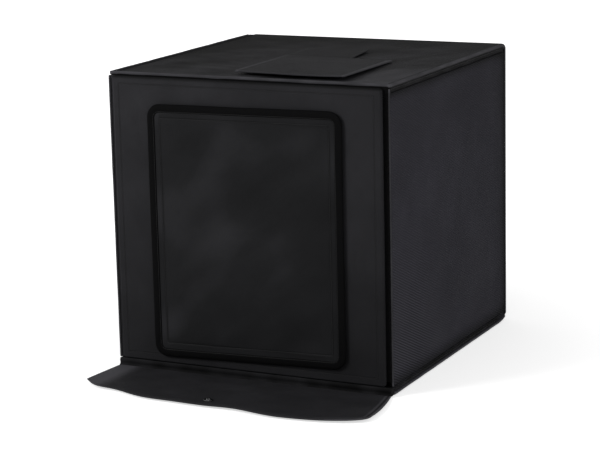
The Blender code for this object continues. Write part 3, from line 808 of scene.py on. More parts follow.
# A woven tape with thin selvedges and a raised pile, from its box, with its face to one side
def addTape(name, low, high, faceAxis, faceSign, body, replaced=()):
    low, high = Vector(low), Vector(high)
    size = high - low
    others = sorted((i for i in range(3) if i != faceAxis), key=lambda i: size[i])
    across, along = others
    width, thick = size[across], size[faceAxis]
    half = width / 2
    selvedge = min(tapeLook["selvedge"], width * 0.12)
    section = [(-half, 0.0), (-half, 0.45), (-half + 0.3 * selvedge, 0.62), (-half + selvedge, 0.66),
               (-half + 1.3 * selvedge, 1.0), (-half * 0.5, 1.0), (0, 1.0)]
    section += [(-u, w) for u, w in reversed(section[:-1])]
    count = max(int(size[along] / tapeLook["cell"]), 2)
    rings = []
    for step in range(count + 1):
        place = low[along] + size[along] * step / count
        ring = []
        for u, w in section:
            spot = Vector((0, 0, 0))
            ripple = tapeLook["ripple"] * noise.noise(Vector((place / 0.012, u / 0.004, low.x)))
            raised = w if w < 1 else 0.97 + ripple / 2
            spot[along] = place
            spot[across] = (low[across] + high[across]) / 2 + u
            base = low[faceAxis] if faceSign > 0 else high[faceAxis]
            spot[faceAxis] = base + faceSign * thick * raised
            ring.append(spot)
        rings.append(ring)
    return addPiece(name, loftRings(rings, capped=True), "loop", body, replaced)


def nodeTape(name, node, faceAxis, faceSign, body):
    low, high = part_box(node)
    return addTape(name, low, high, faceAxis, faceSign, body, [node])


# Panels

hemInset = 0.0098   # the sewn row inside a panel's edges
panelLook = {
    "roll": 0.0018, "corner": 0.004, "cell": 0.006, "rim": 0.0015, "pocket": 0.0012,
    "swell": 0.0004, "wave": 0.0006, "long": 0.12, "short": 0.06, "slant": 0.6, "seed": 1.3,
    "sunk": 0.0003, "grooves": ((hemInset, 0.00035),), "grooveWidth": 0.0008,
}
# Side walls: bands of painted shade under the top's roll and above the foot, more painted shade towards the
# rear edge, and a painted slope of light, paler low down
sideShadeBands = (("head", 0.012, -0.70), ("foot", 0.018, -0.80))
rightLook = {**panelLook, "swell": 0.0006, "wave": 0.0007, "long": 0.16, "short": 0.09,
             "grooves": (), "seed": 7.1, "clouds": 0.08, "slope": (0, -0.10),
             "bands": (("right", 0.060, -0.30), ("right", 0.020, -0.45), *sideShadeBands)}
leftLook = {**rightLook, "seed": 11.7,
            "bands": (("left", 0.060, -0.30), ("left", 0.020, -0.45), *sideShadeBands)}
# Back wall: paler side edges and a band of painted shade under the top
backLook = {**panelLook, "seed": 15.2, "wave": 0.0007, "roll": 0.0028, "corner": 0.0065,
            "flatZones": ((0.011, 0.145, 0.008, 0.008),),
            "bands": (("left", 0.003, 0.55), ("right", 0.003, 0.55), ("head", 0.004, -0.70))}
baseLook = {**panelLook, "pocket": 0.0016, "swell": 0.0, "wave": 0.0, "seed": 21.4}
window = {"halfWidth": 0.140, "halfHeight": 0.169, "corner": 0.016, "margin": 0.022, "holeCorner": 0.010}
port = {"halfWidth": 0.056, "halfDepth": 0.065, "corner": 0.010, "x": 0.044, "y": -0.086}

flapLow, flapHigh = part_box("window_flap_binding")
flapMiddle = (flapLow + flapHigh) / 2


# Where a node's side has a point of the model, as two numbers in that side's plane
def onSide(node, side, place):
    matrix = sideOf(node, side)[0]
    local = matrix.inverted() @ Vector(place)
    return local.x, local.y


windowSpot = onSide("door_cover", "front", flapMiddle)
# Door: painted shade over its lower part, eased a little along its foot edge, a painted shadow under the
# top's roll, painted highlight along its left edge, and a painted slope of light, paler towards the left
doorLook = {**panelLook, "seed": 3.6, "wave": 0.0005, "sunk": 0.0002, "corner": 0.003,
            "clouds": 0.14, "slope": (-0.06, 0),
            "bands": (("foot", 0.24, -0.40), ("foot", 0.03, 0.08), ("head", 0.0042, -0.95),
                      ("left", 0.0032, 0.45)),
            "flatZones": ((*windowSpot, window["halfWidth"] - 0.002, window["halfHeight"] - 0.002),)}
windowHole = (window["halfWidth"] - window["margin"], window["halfHeight"] - window["margin"],
              window["holeCorner"], windowSpot)
portSpot = onSide("top_cover", "top", (port["x"], port["y"], 0))
# Top: an even painted shade over the whole face, a painted slope of light, paler towards the front right,
# bands of painted shade towards the back and the left, and long strong clouds of random tone that also
# stand in for the soft shade of wrinkles
topLook = {**panelLook, "seed": 9.4, "wave": 0.0022, "long": 0.14, "short": 0.04, "slant": -0.35,
           "swell": 0.0004, "grooves": (), "slope": (0.36, -0.41), "even": -0.27,
           "clouds": 0.62, "cloudSize": (0.045, 0.11),
           "bands": (("head", 0.09, -0.38), ("left", 0.10, -0.24)),
           "flatZones": ((portSpot[0], portSpot[1] + 0.028, 0.092, 0.130),)}
portHole = (port["halfWidth"], port["halfDepth"], port["corner"], portSpot)

covers = {
    # body: side that its cloth faces, finish, look and hole
    "door": ("front", "black", doorLook, windowHole),
    "top": ("top", "black", topLook, portHole),
    "right_wall": ("right", "ribbed", rightLook, None),
    "left_wall": ("left", "ribbed", leftLook, None),
    "back_wall": ("back", "black", backLook, None),
    "base": ("under", "black", baseLook, None),
}
for body, (side, finish, look, hole) in covers.items():
    name = body.replace("_w", "W") + "Cloth"
    addPanel(name, f"{body}_cover", side, finish, body, look, hole)
print("covers made")

# Linings: thin silver sheets, puckered a little along their sewn edges
liningHem = 0.004
liningGap = 0.0018   # between a hole's edge in the cover and in the lining
liningLook = {
    "roll": 0.0003, "corner": 0.0022, "cell": 0.008, "swell": 0.0, "wave": 0.0,
    "long": 0.05, "short": 0.03, "seed": 2.2, "sunk": 0.0, "calmEdge": 0.01,
    "grooves": ((liningHem, 0.00022),), "grooveWidth": 0.0007,
}
liningSides = {"door": "back", "top": "under", "right_wall": "left", "left_wall": "right",
               "back_wall": "front", "base": "top"}
holeMiddles = {"door": flapMiddle, "top": (port["x"], port["y"], 0)}
linings = {}
for body, side in liningSides.items():
    node = f"{body}_lining"
    hole = covers[body][3]
    if hole:
        hole = (*(size + liningGap for size in hole[:3]), onSide(node, side, holeMiddles[body]))
    look = {**liningLook, "seed": liningLook["seed"] + 3.1 * len(linings)}
    name = body.replace("_w", "W")
    linings[body] = addPanel(f"{name}SilverLining", node, side, "silver", body, look, hole)
    addStitches(f"{name}LiningStitches", [hemLine(node, side, look, liningHem)], body)
print("linings made")

# Seams that join the panels

plainSeams = [
    # piece, node, axis that it runs along, radius of its rolled edge, body
    ("baseLeftSeam", "base_left_seam", "Y", 0.0015, "base"),
    ("leftWallFrontSeam", "left_wall_front_seam", "Z", 0.002, "left_wall"),
]
for number, (name, node, axis, roll, body) in enumerate(plainSeams):
    rings = stripRings(node, axis, roll, number * 2.7)
    addPiece(name, loftRings(rings, capped=True), "black", body, [node])

# Edgings with a shape of their own: rolls that stand proud, and hollows where the cloth is drawn in.
# Section points are (out, up, wear and shading) from the line that the edging runs along: above 0 painted
# highlight, with some rubbing, on rolls, beads and piping, below 0 painted shade in hollows, grooves and
# under the rolls.
edgings = {
    "frontRoll": ((-0.0034, 0.0003, 0.00), (-0.0014, 0.0013, 0.45), (0.0005, 0.0018, 0.62),
                  (0.0018, 0.0011, 0.66), (0.0023, -0.0006, 0.60), (0.0021, -0.0022, 0.30),
                  (0.0010, -0.0034, -0.90), (-0.0004, -0.0036, -1.00), (-0.0030, -0.0030, 0.00)),
    "sideRoll": ((-0.0060, 0.0001, -0.20), (-0.0036, 0.0006, -0.10), (-0.0014, 0.0015, 0.40),
                 (0.0004, 0.0012, 0.70), (0.0013, -0.0004, 0.66), (0.0013, -0.0018, 0.40),
                 (0.0005, -0.0032, -0.60), (-0.0006, -0.0044, -0.98), (-0.0011, -0.0058, -0.80),
                 (-0.0011, -0.0078, -0.74), (-0.0008, -0.0096, -0.70), (-0.0060, -0.0096, 0.00)),
    "farRoll": ((-0.0060, 0.0001, 0.00), (-0.0036, 0.0006, 0.00), (-0.0014, 0.0015, 0.20),
                (0.0002, 0.0014, 0.10), (0.0012, 0.0000, -0.80), (0.0013, -0.0018, -0.60),
                (0.0005, -0.0036, -0.30), (-0.0003, -0.0060, 0.00), (0.0000, -0.0170, 0.00),
                (-0.0060, -0.0174, 0.00)),
    "sideFoot": ((-0.0060, 0.0114, 0.00), (-0.0008, 0.0116, -0.80), (-0.0013, 0.0096, -0.95),
                 (-0.0014, 0.0076, -0.98), (-0.0008, 0.0058, -0.98), (0.0001, 0.0047, -0.50),
                 (0.0011, 0.0038, 0.80), (0.0015, 0.0024, 0.95), (0.0009, 0.0015, 0.50),
                 (-0.0002, 0.0010, -0.50), (-0.0060, 0.0008, 0.00)),
    "frontFoot": ((-0.0084, 0.0112, -0.80), (-0.0045, 0.0114, -0.90), (-0.0016, 0.0122, -0.80),
                  (-0.0004, 0.0100, -0.80), (-0.0004, 0.0074, -0.85), (-0.0009, 0.0052, -0.90),
                  (-0.0006, 0.0030, -0.96), (0.0003, 0.0018, -1.00), (0.0009, 0.0011, -1.00),
                  (-0.0084, 0.0008, -1.00)),
    "rearFoot": ((-0.0084, 0.0040, 0.00), (-0.0012, 0.0042, -0.30), (-0.0006, 0.0034, 0.10),
                 (-0.0016, 0.0017, 0.20), (-0.0036, 0.0008, 0.10), (-0.0060, 0.0006, -0.20),
                 (-0.0084, 0.0006, -0.30)),
    "hinge": ((-0.0056, 0.0002, 0.00), (-0.0006, 0.0002, 0.00), (0.0004, 0.0016, 0.20),
              (0.0004, 0.0038, 0.50), (-0.0004, 0.0053, 0.56), (-0.0017, 0.0058, 0.50),
              (-0.0027, 0.0053, 0.15), (-0.0034, 0.0046, -0.95), (-0.0041, 0.0046, -0.60),
              (-0.0049, 0.0052, 0.10), (-0.0056, 0.0052, 0.10)),
    "bead": ((-0.0012, 0.0000, 0.00), (-0.0008, 0.0009, 0.18), (0.0000, 0.0012, 0.30),
             (0.0009, 0.0009, 0.30), (0.0012, 0.0000, 0.20), (0.0008, -0.0009, 0.00),
             (0.0000, -0.0012, 0.00), (-0.0008, -0.0009, 0.00)),
}


# The base's rear right corner stands a little off the ground, drawn in under the back wall
def liftedRear(place):
    return (0, 0, 0.0030 * min(max((place.y - 0.173) / 0.028, 0), 1) ** 2)


def tuckedRight(place):
    share = smoothstep(place.x, 0.160, 0.200)
    return (0, -0.0045 * share, 0.0026 * share)


# The side rolls of the top dip at their rear ends
def droopedRear(place):
    return (0, 0, -0.0030 * smoothstep(place.y, 0.190, 0.203))


topLow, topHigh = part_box("top_left_seam")[0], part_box("top_right_seam")[1]
tubeFront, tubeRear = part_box("top_cover")[0].y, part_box("top_cover")[1].y
left, right, head = topLow.x, topHigh.x, topHigh.z
frontLow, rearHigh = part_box("base_front_seam")[0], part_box("base_rear_seam")[1]
hingeLow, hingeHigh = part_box("door_hinge_seam")
wallLow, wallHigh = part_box("right_wall_cover")
rollLine, beadLine = -0.2014, -0.2030   # where the front roll and the bead run, along Y
palerFrom = {"baseFrontSeam": 0.12}     # paler painted shading added at the start of a line
edgingRuns = [
    # piece, section, node that it replaces, body, start, stop, 1 or -1 for its outer side, bend, finish
    ("topRightSeam", "sideRoll", "top_right_seam", "top", (right, tubeFront, head),
     (right, tubeRear, head), 1, droopedRear, "black"),
    ("topLeftSeam", "farRoll", "top_left_seam", "top", (left, tubeFront, head),
     (left, tubeRear, head), -1, droopedRear, "black"),
    ("topFrontRoll", "frontRoll", None, "top", (left - 0.0008, rollLine, head),
     (right + 0.0008, rollLine, head), 1, None, "black"),
    ("baseRightSeam", "sideFoot", "base_right_seam", "base", (right, tubeFront, 0),
     (right, tubeRear, 0), 1, liftedRear, "ribbed"),
    ("baseFrontSeam", "frontFoot", "base_front_seam", "base", (left, frontLow.y, 0),
     (right, frontLow.y, 0), 1, None, "black"),
    ("baseRearSeam", "rearFoot", "base_rear_seam", "base", (left, rearHigh.y, 0),
     (right, rearHigh.y, 0), -1, tuckedRight, "black"),
    ("doorHingeSeam", "hinge", "door_hinge_seam", "door", (hingeLow.x, hingeHigh.y, hingeLow.z - 0.0018),
     (hingeLow.x, hingeHigh.y, hingeHigh.z + 0.0022), -1, None, "black"),
    ("rightWallFrontBead", "bead", None, "right_wall", (right - 0.0003, beadLine, wallLow.z + 0.001),
     (right - 0.0003, beadLine, wallHigh.z + 0.0058), 1, None, "black"),
]
for number, (name, section, node, body, start, stop, outSide, bend, finish) in enumerate(edgingRuns):
    places = straightPlaces(start, stop, bend)
    builder = edgingBuilder(places, edgings[section], outSide, number * 2.3, palerFrom.get(name, 0))
    addPiece(name, builder, finish, body, [node] if node else [])

# Hook and loop tapes

for name, node, faceAxis, faceSign, body in (
        ("leftWallLoopTape", "left_wall_loop_tape", 1, 1, "left_wall"),
        ("rightWallFrontLoopTape", "right_wall_front_loop_tape", 1, -1, "right_wall"),
        ("rightWallRearLoopTape", "right_wall_rear_loop_tape", 1, 1, "right_wall"),
        ("topFrontLoopTape", "top_front_loop_tape", 1, -1, "top"),
        ("topRearLoopTape", "top_rear_loop_tape", 1, 1, "top"),
        ("topLeftLoopRunner", "top_left_loop_runner", 2, -1, "top"),
        ("topRightLoopRunner", "top_right_loop_runner", 2, -1, "top"),
        ("frontBarLeftHookPad", "front_bar_left_hook_pad", 2, 1, "front_bar"),
        ("frontBarRightHookPad", "front_bar_right_hook_pad", 2, 1, "front_bar"),
        ("rearBarLeftHookPad", "rear_bar_left_hook_pad", 2, 1, "rear_bar"),
        ("rearBarRightHookPad", "rear_bar_right_hook_pad", 2, 1, "rear_bar")):
    nodeTape(name, node, faceAxis, faceSign, body)

doorTapeWidth, backTapeWidth = 0.015, 0.0135
tapeGap = 0.0004   # where one tape butts against another
low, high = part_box("door_hook_tape")
tapeFoot = high.z - doorTapeWidth
addTape("doorHookTapeTop", (low.x, low.y, tapeFoot), high, 1, 1, "door", ["door_hook_tape"])
addTape("doorHookTapeSide", (high.x - doorTapeWidth, low.y, low.z), (high.x, high.y, tapeFoot - tapeGap),
        1, 1, "door")
low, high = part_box("back_wall_hook_tape")
tapeFoot = high.z - backTapeWidth
addTape("backWallHookTapeTop", (low.x, low.y, tapeFoot), high, 1, -1, "back_wall", ["back_wall_hook_tape"])
for name, tapeLeft in (("backWallHookTapeLeft", low.x), ("backWallHookTapeRight", high.x - backTapeWidth)):
    addTape(name, (tapeLeft, low.y, low.z), (tapeLeft + backTapeWidth, high.y, tapeFoot - tapeGap),
            1, -1, "back_wall")


def bandOutline(halfU, halfV, radius, inset):
    return outline(halfU - inset, halfV - inset, max(radius - inset, 0.001), sideSteps=48, cornerSteps=9)


# A closed band that follows a rounded rectangle, from a section of (inset, height) pairs
def bandRings(halfU, halfV, radius, section, sway=0.0, seed=0.0):
    rings = []
    for inset, height in section:
        points = bandOutline(halfU, halfV, radius, inset)
        rings.append([(p.x + sway * noise.noise(Vector((p.x / 0.05, p.y / 0.05, seed))),
                       p.y + sway * noise.noise(Vector((p.x / 0.05, p.y / 0.05, seed + 5))), height)
                      for p in points])
    return rings


matrix, halfU, halfV, thick = sideOf("window_loop_ring", "front")
loopWidth = 0.012
ringSection = [(0, -thick), (0, -0.4 * thick), (0.0014, -0.34 * thick), (0.0018, 0)]
ringSection += [(loopWidth - inset, height) for inset, height in reversed(ringSection)]
builder = loftRings(bandRings(halfU, halfV, window["corner"], ringSection), closed=True)
windowLoopRing = addPiece("windowLoopRing", builder, "loop", "door", ["window_loop_ring"], matrix)
print("tapes made")

# Window flap

flap = {"bindingWidth": 0.0112, "bindingSteps": 18, "crown": 0.0005, "seamInset": 0.0185, "corner": 0.018,
        "panelInset": 0.006, "clothThick": 0.0012, "clothDrop": 0.0008, "flat": (0.274, 0.332),
        "footTilt": 0.00405, "headTilt": 0.0017, "aside": -0.0010}
matrix, halfU, halfV, thick = sideOf("window_flap_binding", "front")
bindingSection = []
for step in range(flap["bindingSteps"]):
    angle = 2 * math.pi * step / flap["bindingSteps"]
    reach = abs(math.cos(angle)) ** 0.75
    rise = abs(math.sin(angle)) ** 0.85
    inset = flap["bindingWidth"] / 2 * (1 - math.copysign(reach, math.cos(angle)))
    crown = flap["crown"] if math.sin(angle) > 0 else 0
    height = -thick / 2 + math.copysign(rise, math.sin(angle)) * (thick / 2 + crown)
    bindingSection.append((inset, height))


# The flap hangs a little askew: its right side rides higher than its left, most at the foot
def askew(place):
    share = (place.y + halfV) / (2 * halfV)
    tilt = flap["footTilt"] + (flap["headTilt"] - flap["footTilt"]) * share
    return Vector((place.x + flap["aside"], place.y + tilt * place.x / halfU, place.z))


def hungAskew(builder):
    for vertex in builder.verts:
        vertex.co = askew(vertex.co)
    return builder


builder = loftRings(bandRings(halfU, halfV, flap["corner"], bindingSection, 0.0004, 3.3), closed=True)
windowBinding = addPiece("windowFlapBinding", hungAskew(builder), "binding", "window_flap",
                         ["window_flap_binding"], matrix)

# Window flap cloth: a painted slope of light, paler higher up, a little even painted shade, and painted
# shade in its sewn groove
flapLook = {
    "roll": 0.0004, "corner": 0.010, "cell": 0.005, "swell": 0.0014, "wave": 0.0021, "long": 0.20,
    "clouds": 0.34, "slope": (-0.03, 0.06), "even": -0.04, "grooveDark": 0.45,
    "short": 0.065, "slant": 0.62, "seed": 5.9, "sunk": 0.0, "calmEdge": 0.03,
    "grooves": ((0.0125, 0.0005),), "grooveWidth": 0.0009,
}
sheetMatrix = matrix @ Matrix.Translation((0, 0, -flap["clothDrop"]))
sheetHalf = (halfU - flap["panelInset"], halfV - flap["panelInset"])
builder = hungAskew(wrappedFace(*sheetHalf, flap["clothThick"], flapLook))
flapCloth = addPiece("windowFlapCloth", builder, "window", "window_flap", ["window_flap_panel"],
                     sheetMatrix, wearAndShadingOf(flapLook, *sheetHalf))


# A row of stitches round the flap at one inset, hung as the flap is
def flapLine(inset, height):
    points = bandOutline(halfU, halfV, flap["corner"], inset)
    out = matrix.to_3x3() @ Vector((0, 0, 1))
    return [(matrix @ askew(Vector((p.x, p.y, height))), out) for p in points + points[:1]]


flapStitches = addStitches("windowFlapStitches",
                           [flapLine(flap["bindingWidth"] - 0.0016, 0.0002),
                            flapLine(flap["seamInset"], -flap["clothDrop"] - 0.0002)], "window_flap")

# Camera port flap

# Skew and lean are in degrees: the fold line's, and the sides' off square
portFlap = {"half": (0.080, 0.0905), "lift": 0.0036, "rightLift": 0.0020, "pulled": 0.0030,
            "x": 0.046, "y": -0.093, "skew": -5.1, "lean": 9.9, "flat": (0.165, 0.186),
            "stripHalf": (0.0495, 0.037), "stripGap": 0.0003, "stripCurl": 0.0020,
            "stripFlat": (0.099, 0.074)}
flapHalf, stripHalf = portFlap["half"], portFlap["stripHalf"]
# Port flap: painted highlight along its left, right and front edges, painted shade along its fold at the
# rear, a little even painted shade and a painted slope of light, paler towards the front
portLook = {
    "roll": 0.0011, "corner": 0.004, "cell": 0.005, "swell": 0.0006, "wave": 0.0007, "long": 0.09,
    "short": 0.05, "slant": 0.3, "seed": 12.6, "sunk": 0.0, "grooves": ((0.0055, 0.0004),),
    "grooveWidth": 0.0008, "clouds": 0.12, "slope": (0.03, -0.08), "even": -0.08,
    "bands": (("left", 0.0050, 0.85), ("right", 0.0050, 0.85), ("foot", 0.0040, 0.45),
              ("head", 0.0060, -1.2)),
}
portTurn = Matrix.Rotation(math.radians(portFlap["skew"]), 4, "Z")
racked = Matrix.Identity(4)
racked[0][1] = -math.tan(math.radians(portFlap["lean"]))
flapTop, stripTop = (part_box(node)[1].z for node in ("port_flap", "port_hinge_strip"))
portMatrix = Matrix.Translation((portFlap["x"], portFlap["y"], flapTop)) @ portTurn @ racked


# The flap rests on its fold line and stands a little clear of the panel at its front and right edges,
# with its front left and rear right corners pulled out
def liftPort(place):
    across, along = place.x / flapHalf[0], place.y / flapHalf[1]
    share = min(max((1 - along) / 2, 0), 1)
    right = min(max(across, 0), 1)
    lift = portFlap["lift"] * share ** 1.3 + portFlap["rightLift"] * right ** 2 * math.sqrt(share)
    return place + Vector((portFlap["pulled"] * across * (1 + across * along) / 2, 0, lift))


# A cloth of the port, bent by a function of its places, and the row of stitches in its groove
def addPortCloth(name, node, body, half, look, matrix, bend, corner, rowName):
    low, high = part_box(node)
    builder = wrappedFace(*half, high.z - low.z, look)
    for vertex in builder.verts:
        vertex.co = bend(vertex.co)
    cloth = addPiece(name, builder, "black", body, [node], matrix, wearAndShadingOf(look, *half))
    inset, _ = look["grooves"][0]
    points = outline(half[0] - inset, half[1] - inset, corner)
    line = [(matrix @ bend(Vector((p.x, p.y, clothHeight(look, p.x, p.y, *half)))), (0, 0, 1))
            for p in points + points[:1]]
    return cloth, addStitches(rowName, [line], body)


portCloth, portStitches = addPortCloth("portFlapCloth", "port_flap", "port_flap", flapHalf, portLook,
                                       portMatrix, liftPort, 0.003, "portFlapStitches")

# Hinge strip: even painted shade, as it lies in the flap's shade, painted shade along its front fold, and
# painted highlight along its sides
stripLook = {**portLook, "roll": 0.0005, "corner": 0.002, "swell": 0.0003, "wave": 0.0003, "seed": 14.4,
             "grooves": ((0.0045, 0.0002),), "clouds": 0.16, "even": -0.22, "slope": (0, 0),
             "bands": (("foot", 0.0050, -1.2), ("left", 0.0030, 0.35), ("right", 0.0030, 0.35))}
stripMiddle = Vector((stripHalf[0] - flapHalf[0], flapHalf[1] + portFlap["stripGap"] + stripHalf[1], 0))
stripMatrix = Matrix.Translation((portFlap["x"], portFlap["y"], stripTop)) @ portTurn @ racked @ \
    Matrix.Translation(stripMiddle)


# The strip's rear right corner curls up a little
def curlStrip(place):
    right = min(max(place.x / stripHalf[0], 0), 1)
    share = min(max((place.y / stripHalf[1] + 1) / 2, 0), 1)
    return place + Vector((0, 0, portFlap["stripCurl"] * right ** 3 * share))


portStrip, stripStitches = addPortCloth("portHingeStrip", "port_hinge_strip", "top", stripHalf, stripLook,
                                        stripMatrix, curlStrip, 0.002, "portStripStitches")
print("flaps made")

# Closure flap on the ground

closure = {
    "halfWidth": 0.200, "depth": 0.131, "thick": 0.0022, "rise": 0.0050, "hemInset": 0.0026,
    "ridgeInset": 0.0058, "wave": 0.0008, "roll": 0.0011, "flat": (0.428, 0.132), "area": 0.0485,
    "edge": ((-0.990, 0.665, 1.00), (-0.885, 0.775, 0.70), (-0.720, 0.805, 0.46), (-0.490, 0.915, 0.40),
             (-0.250, 0.937, 0.42), (-0.027, 0.955, 0.48), (0.190, 0.945, 0.55), (0.425, 1.000, 0.44),
             (0.565, 1.002, 0.38), (0.780, 0.965, 0.44), (0.960, 0.890, 0.62), (1.055, 0.790, 0.70),
             (1.070, 0.650, 0.60)),
}
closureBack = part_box("closure_flap")[1].y
socketLow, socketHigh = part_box("closure_snap_socket")
snapMiddle = (socketLow + socketHigh) / 2


# A smooth curve through the front edge's points: across, out and rise
def closureEdge(along):
    keys = closure["edge"]
    spans = len(keys) - 1
    first = min(int(along * spans), spans - 1)
    t = along * spans - first
    near = [keys[min(max(first + step, 0), spans)] for step in (-1, 0, 1, 2)]
    return [curved(*numbers, t) for numbers in zip(*near)]


def closurePoint(along, shareOut):
    across, out, rise = closureEdge(along)
    endShare = abs(closure["edge"][0 if across < 0 else -1][0])
    atFold = across / endShare
    x = closure["halfWidth"] * (atFold + (across - atFold) * math.sin(shareOut * math.pi / 2))
    y = closureBack - shareOut * out * closure["depth"]
    lift = shareOut * rise * closure["rise"]
    fromSnap = math.hypot(x - snapMiddle.x, y - snapMiddle.y)
    loose = math.sin(math.pi * min(shareOut, 1)) * smoothstep(fromSnap, 0.007, 0.03)
    ripple = 0.5 + 0.5 * noise.noise(Vector((x / 0.07, y / 0.045, 8.8)))
    return Vector((x, y, lift + closure["wave"] * loose * ripple))


def closureHeight(edge):
    roll = closure["roll"]
    if edge >= roll:
        return 1.0
    return 0.5 + 0.5 * math.sqrt(max(1 - (1 - edge / roll) ** 2, 0))


# Shares along the front edge, closer together at its ends, and distances in from it
columns = [0, 0.001, 0.0025, 0.0045, 0.008, *(0.012 + 0.888 * i / 100 for i in range(101)),
           *(0.906 + 0.086 * i / 24 for i in range(25)), 0.9955, 0.9975, 0.999, 1]
rowsIn = [0.06, 0.045, 0.03, 0.02, 0.013, 0.0085, 0.0055, 0.004, 0.0032, 0.0026, 0.0020, 0.0014, 0.0009,
          0.0005, 0.0002, 0]


# Painted highlight on the rolled rim, painted shade in the sewn line and painted highlight on the ridge
# inside it, all stronger towards the right end, random tone, and painted light on the left tip
def closureWearAndShading(place, edge):
    atEnd = smoothstep(place.x, 0.120, 0.195)
    total = (0.20 + 0.80 * atEnd) * math.exp(-(edge / 0.0018) ** 2)
    total -= 0.75 * math.exp(-((edge - closure["hemInset"] - 0.0006 * atEnd) / 0.0009) ** 2)
    total += (0.15 + 0.60 * atEnd) * math.exp(-((edge - closure["ridgeInset"]) / 0.0017) ** 2)
    total += 0.20 * noise.noise(Vector((place.x / 0.05, place.y / 0.03, 2.9))) - 0.05
    return total + 2.60 * (1 - smoothstep(place.x, -0.206, -0.155))


builder = bmesh.new()
layer = builder.verts.layers.float.new("wear")
over, under = [], []
for along in columns:
    out = closureEdge(along)[1] * closure["depth"]
    shares = [0, 0.02, 0.06, 0.12, 0.2, 0.3, 0.4] + [1 - step / out for step in rowsIn]
    upper, lower = [], []
    for share in shares:
        place = closurePoint(along, share)
        ends = (place.x - closurePoint(0, share).x, closurePoint(1, share).x - place.x)
        edge = min((1 - share) * out, *ends)
        full = closureHeight(edge)
        groove = 0.00035 * math.exp(-(((1 - share) * out - closure["hemInset"]) / 0.0006) ** 2)
        upper.append(builder.verts.new(place + Vector((0, 0, closure["thick"] * full - groove))))
        upper[-1][layer] = closureWearAndShading(place, edge)
        lower.append(builder.verts.new(place + Vector((0, 0, closure["thick"] * (1 - full)))))
    over.append(upper)
    under.append(lower)
for grid in (over, under):
    for left, right in zip(grid, grid[1:]):
        for i in range(len(left) - 1):
            builder.faces.new((left[i], right[i], right[i + 1], left[i + 1]))
last = len(columns) - 1
for i in range(len(over[0]) - 1):
    builder.faces.new((over[0][i], over[0][i + 1], under[0][i + 1], under[0][i]))
    builder.faces.new((over[last][i + 1], over[last][i], under[last][i], under[last][i + 1]))
for i in range(last):
    builder.faces.new((over[i + 1][0], over[i][0], under[i][0], under[i + 1][0]))
    builder.faces.new((over[i][-1], over[i + 1][-1], under[i + 1][-1], under[i][-1]))
bmesh.ops.remove_doubles(builder, verts=builder.verts, dist=0.00001)
closureCloth = addPiece("closureFlapCloth", builder, "black", "closure_flap", ["closure_flap"])
line = []
rowSteps = 240
for step in range(rowSteps + 1):
    along = 0.004 + 0.992 * step / rowSteps
    out = closureEdge(along)[1] * closure["depth"]
    place = closurePoint(along, 1 - closure["hemInset"] / out)
    line.append((place + Vector((0, 0, closure["thick"] - 0.0003)), (0, 0, 1)))
closureStitches = addStitches("closureFlapStitches", [line], "closure_flap")
print("closure flap made")

# Sewn rows on the panels and seams

addStitches("doorHemStitches", [hemLine("door_cover", "front", doorLook, hemInset)], "door")
addStitches("backWallHemStitches", [hemLine("back_wall_cover", "back", backLook, hemInset)], "back_wall")


def straightRow(start, stop, out):
    return [(Vector(start), out), (Vector(stop), out)]


toRight, toFront, upwards = (1, 0, 0), (0, -1, 0), (0, 0, 1)
rowEnd = 0.004   # between a row and the end of its seam
low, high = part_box("base_right_seam")
rowX, rowZ = high.x - 0.0012, 0.0068
addStitches("baseSeamStitches",
            [straightRow((rowX, low.y + rowEnd, rowZ), (rowX, high.y - 0.035, rowZ), toRight)], "base")
low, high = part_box("top_right_seam")
rowX, rowZ = high.x - 0.0010, high.z - 0.0056
rightHead = straightRow((rowX, low.y + rowEnd, rowZ), (rowX, high.y - 0.014, rowZ), toRight)
rowX = low.x + 0.0006
overRight = straightRow((rowX, low.y + rowEnd, high.z), (rowX, high.y - rowEnd, high.z), upwards)
low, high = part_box("top_left_seam")
rowX = high.x - 0.0006
overLeft = straightRow((rowX, low.y + rowEnd, high.z), (rowX, high.y - rowEnd, high.z), upwards)
addStitches("topSeamStitches", [rightHead, overRight, overLeft], "top")
low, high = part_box("door_hinge_seam")
rowX, rowY = low.x + 0.0036, high.y - 0.0040
addStitches("doorHingeStitches",
            [straightRow((rowX, rowY, low.z + rowEnd), (rowX, rowY, high.z - rowEnd), toFront)], "door")
print("stitching made")

# Finishes of the frame's own rigid parts

rigid = {
    "board": [f"{body}_board" for body in ("base", "left_wall", "right_wall", "back_wall", "top", "door")],
    "metal": ["back_wall_snap_stud", "closure_snap_rivet", "closure_snap_socket"],
    "aluminium": ["front_bar_channel", "rear_bar_channel"],
    "plastic": ["front_bar_end_cap", "rear_bar_end_cap", "front_bar_jack_cap", "rear_bar_jack_cap"],
}
for bar in ("front_bar", "rear_bar"):
    low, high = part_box(f"{bar}_led_board")
    finishes[bar] = lightBoardFinish(f"{bar}LightBoard", lightBoard, (low.y + high.y) / 2)
    rigid[bar] = [f"{bar}_led_board"]
for finish, nodes in rigid.items():
    for node in nodes:
        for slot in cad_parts[node].material_slots:
            slot.material = finishes[finish]
print("rigid parts finished:", sum(len(nodes) for nodes in rigid.values()))

# How large the cloth of the covers and linings was cut, worked out here and not used further

turnIn = 0.024   # cloth folded round a board's edges and under its lining, both sides together
for body, (side, _, _, hole) in covers.items():
    _, halfU, halfV, _ = sideOf(f"{body}_cover", side)
    flat = (2 * halfU + turnIn, 2 * halfV + turnIn)
    area = flat[0] * flat[1]
    if hole:
        area -= (2 * hole[0] - turnIn / 2) * (2 * hole[1] - turnIn / 2)
for body, side in liningSides.items():
    _, halfU, halfV, _ = sideOf(f"{body}_lining", side)
    flat = (2 * halfU, 2 * halfV)
    area = flat[0] * flat[1]
    hole = covers[body][3]
    if hole:
        area -= 4 * hole[0] * hole[1]

# Camera, floor and light

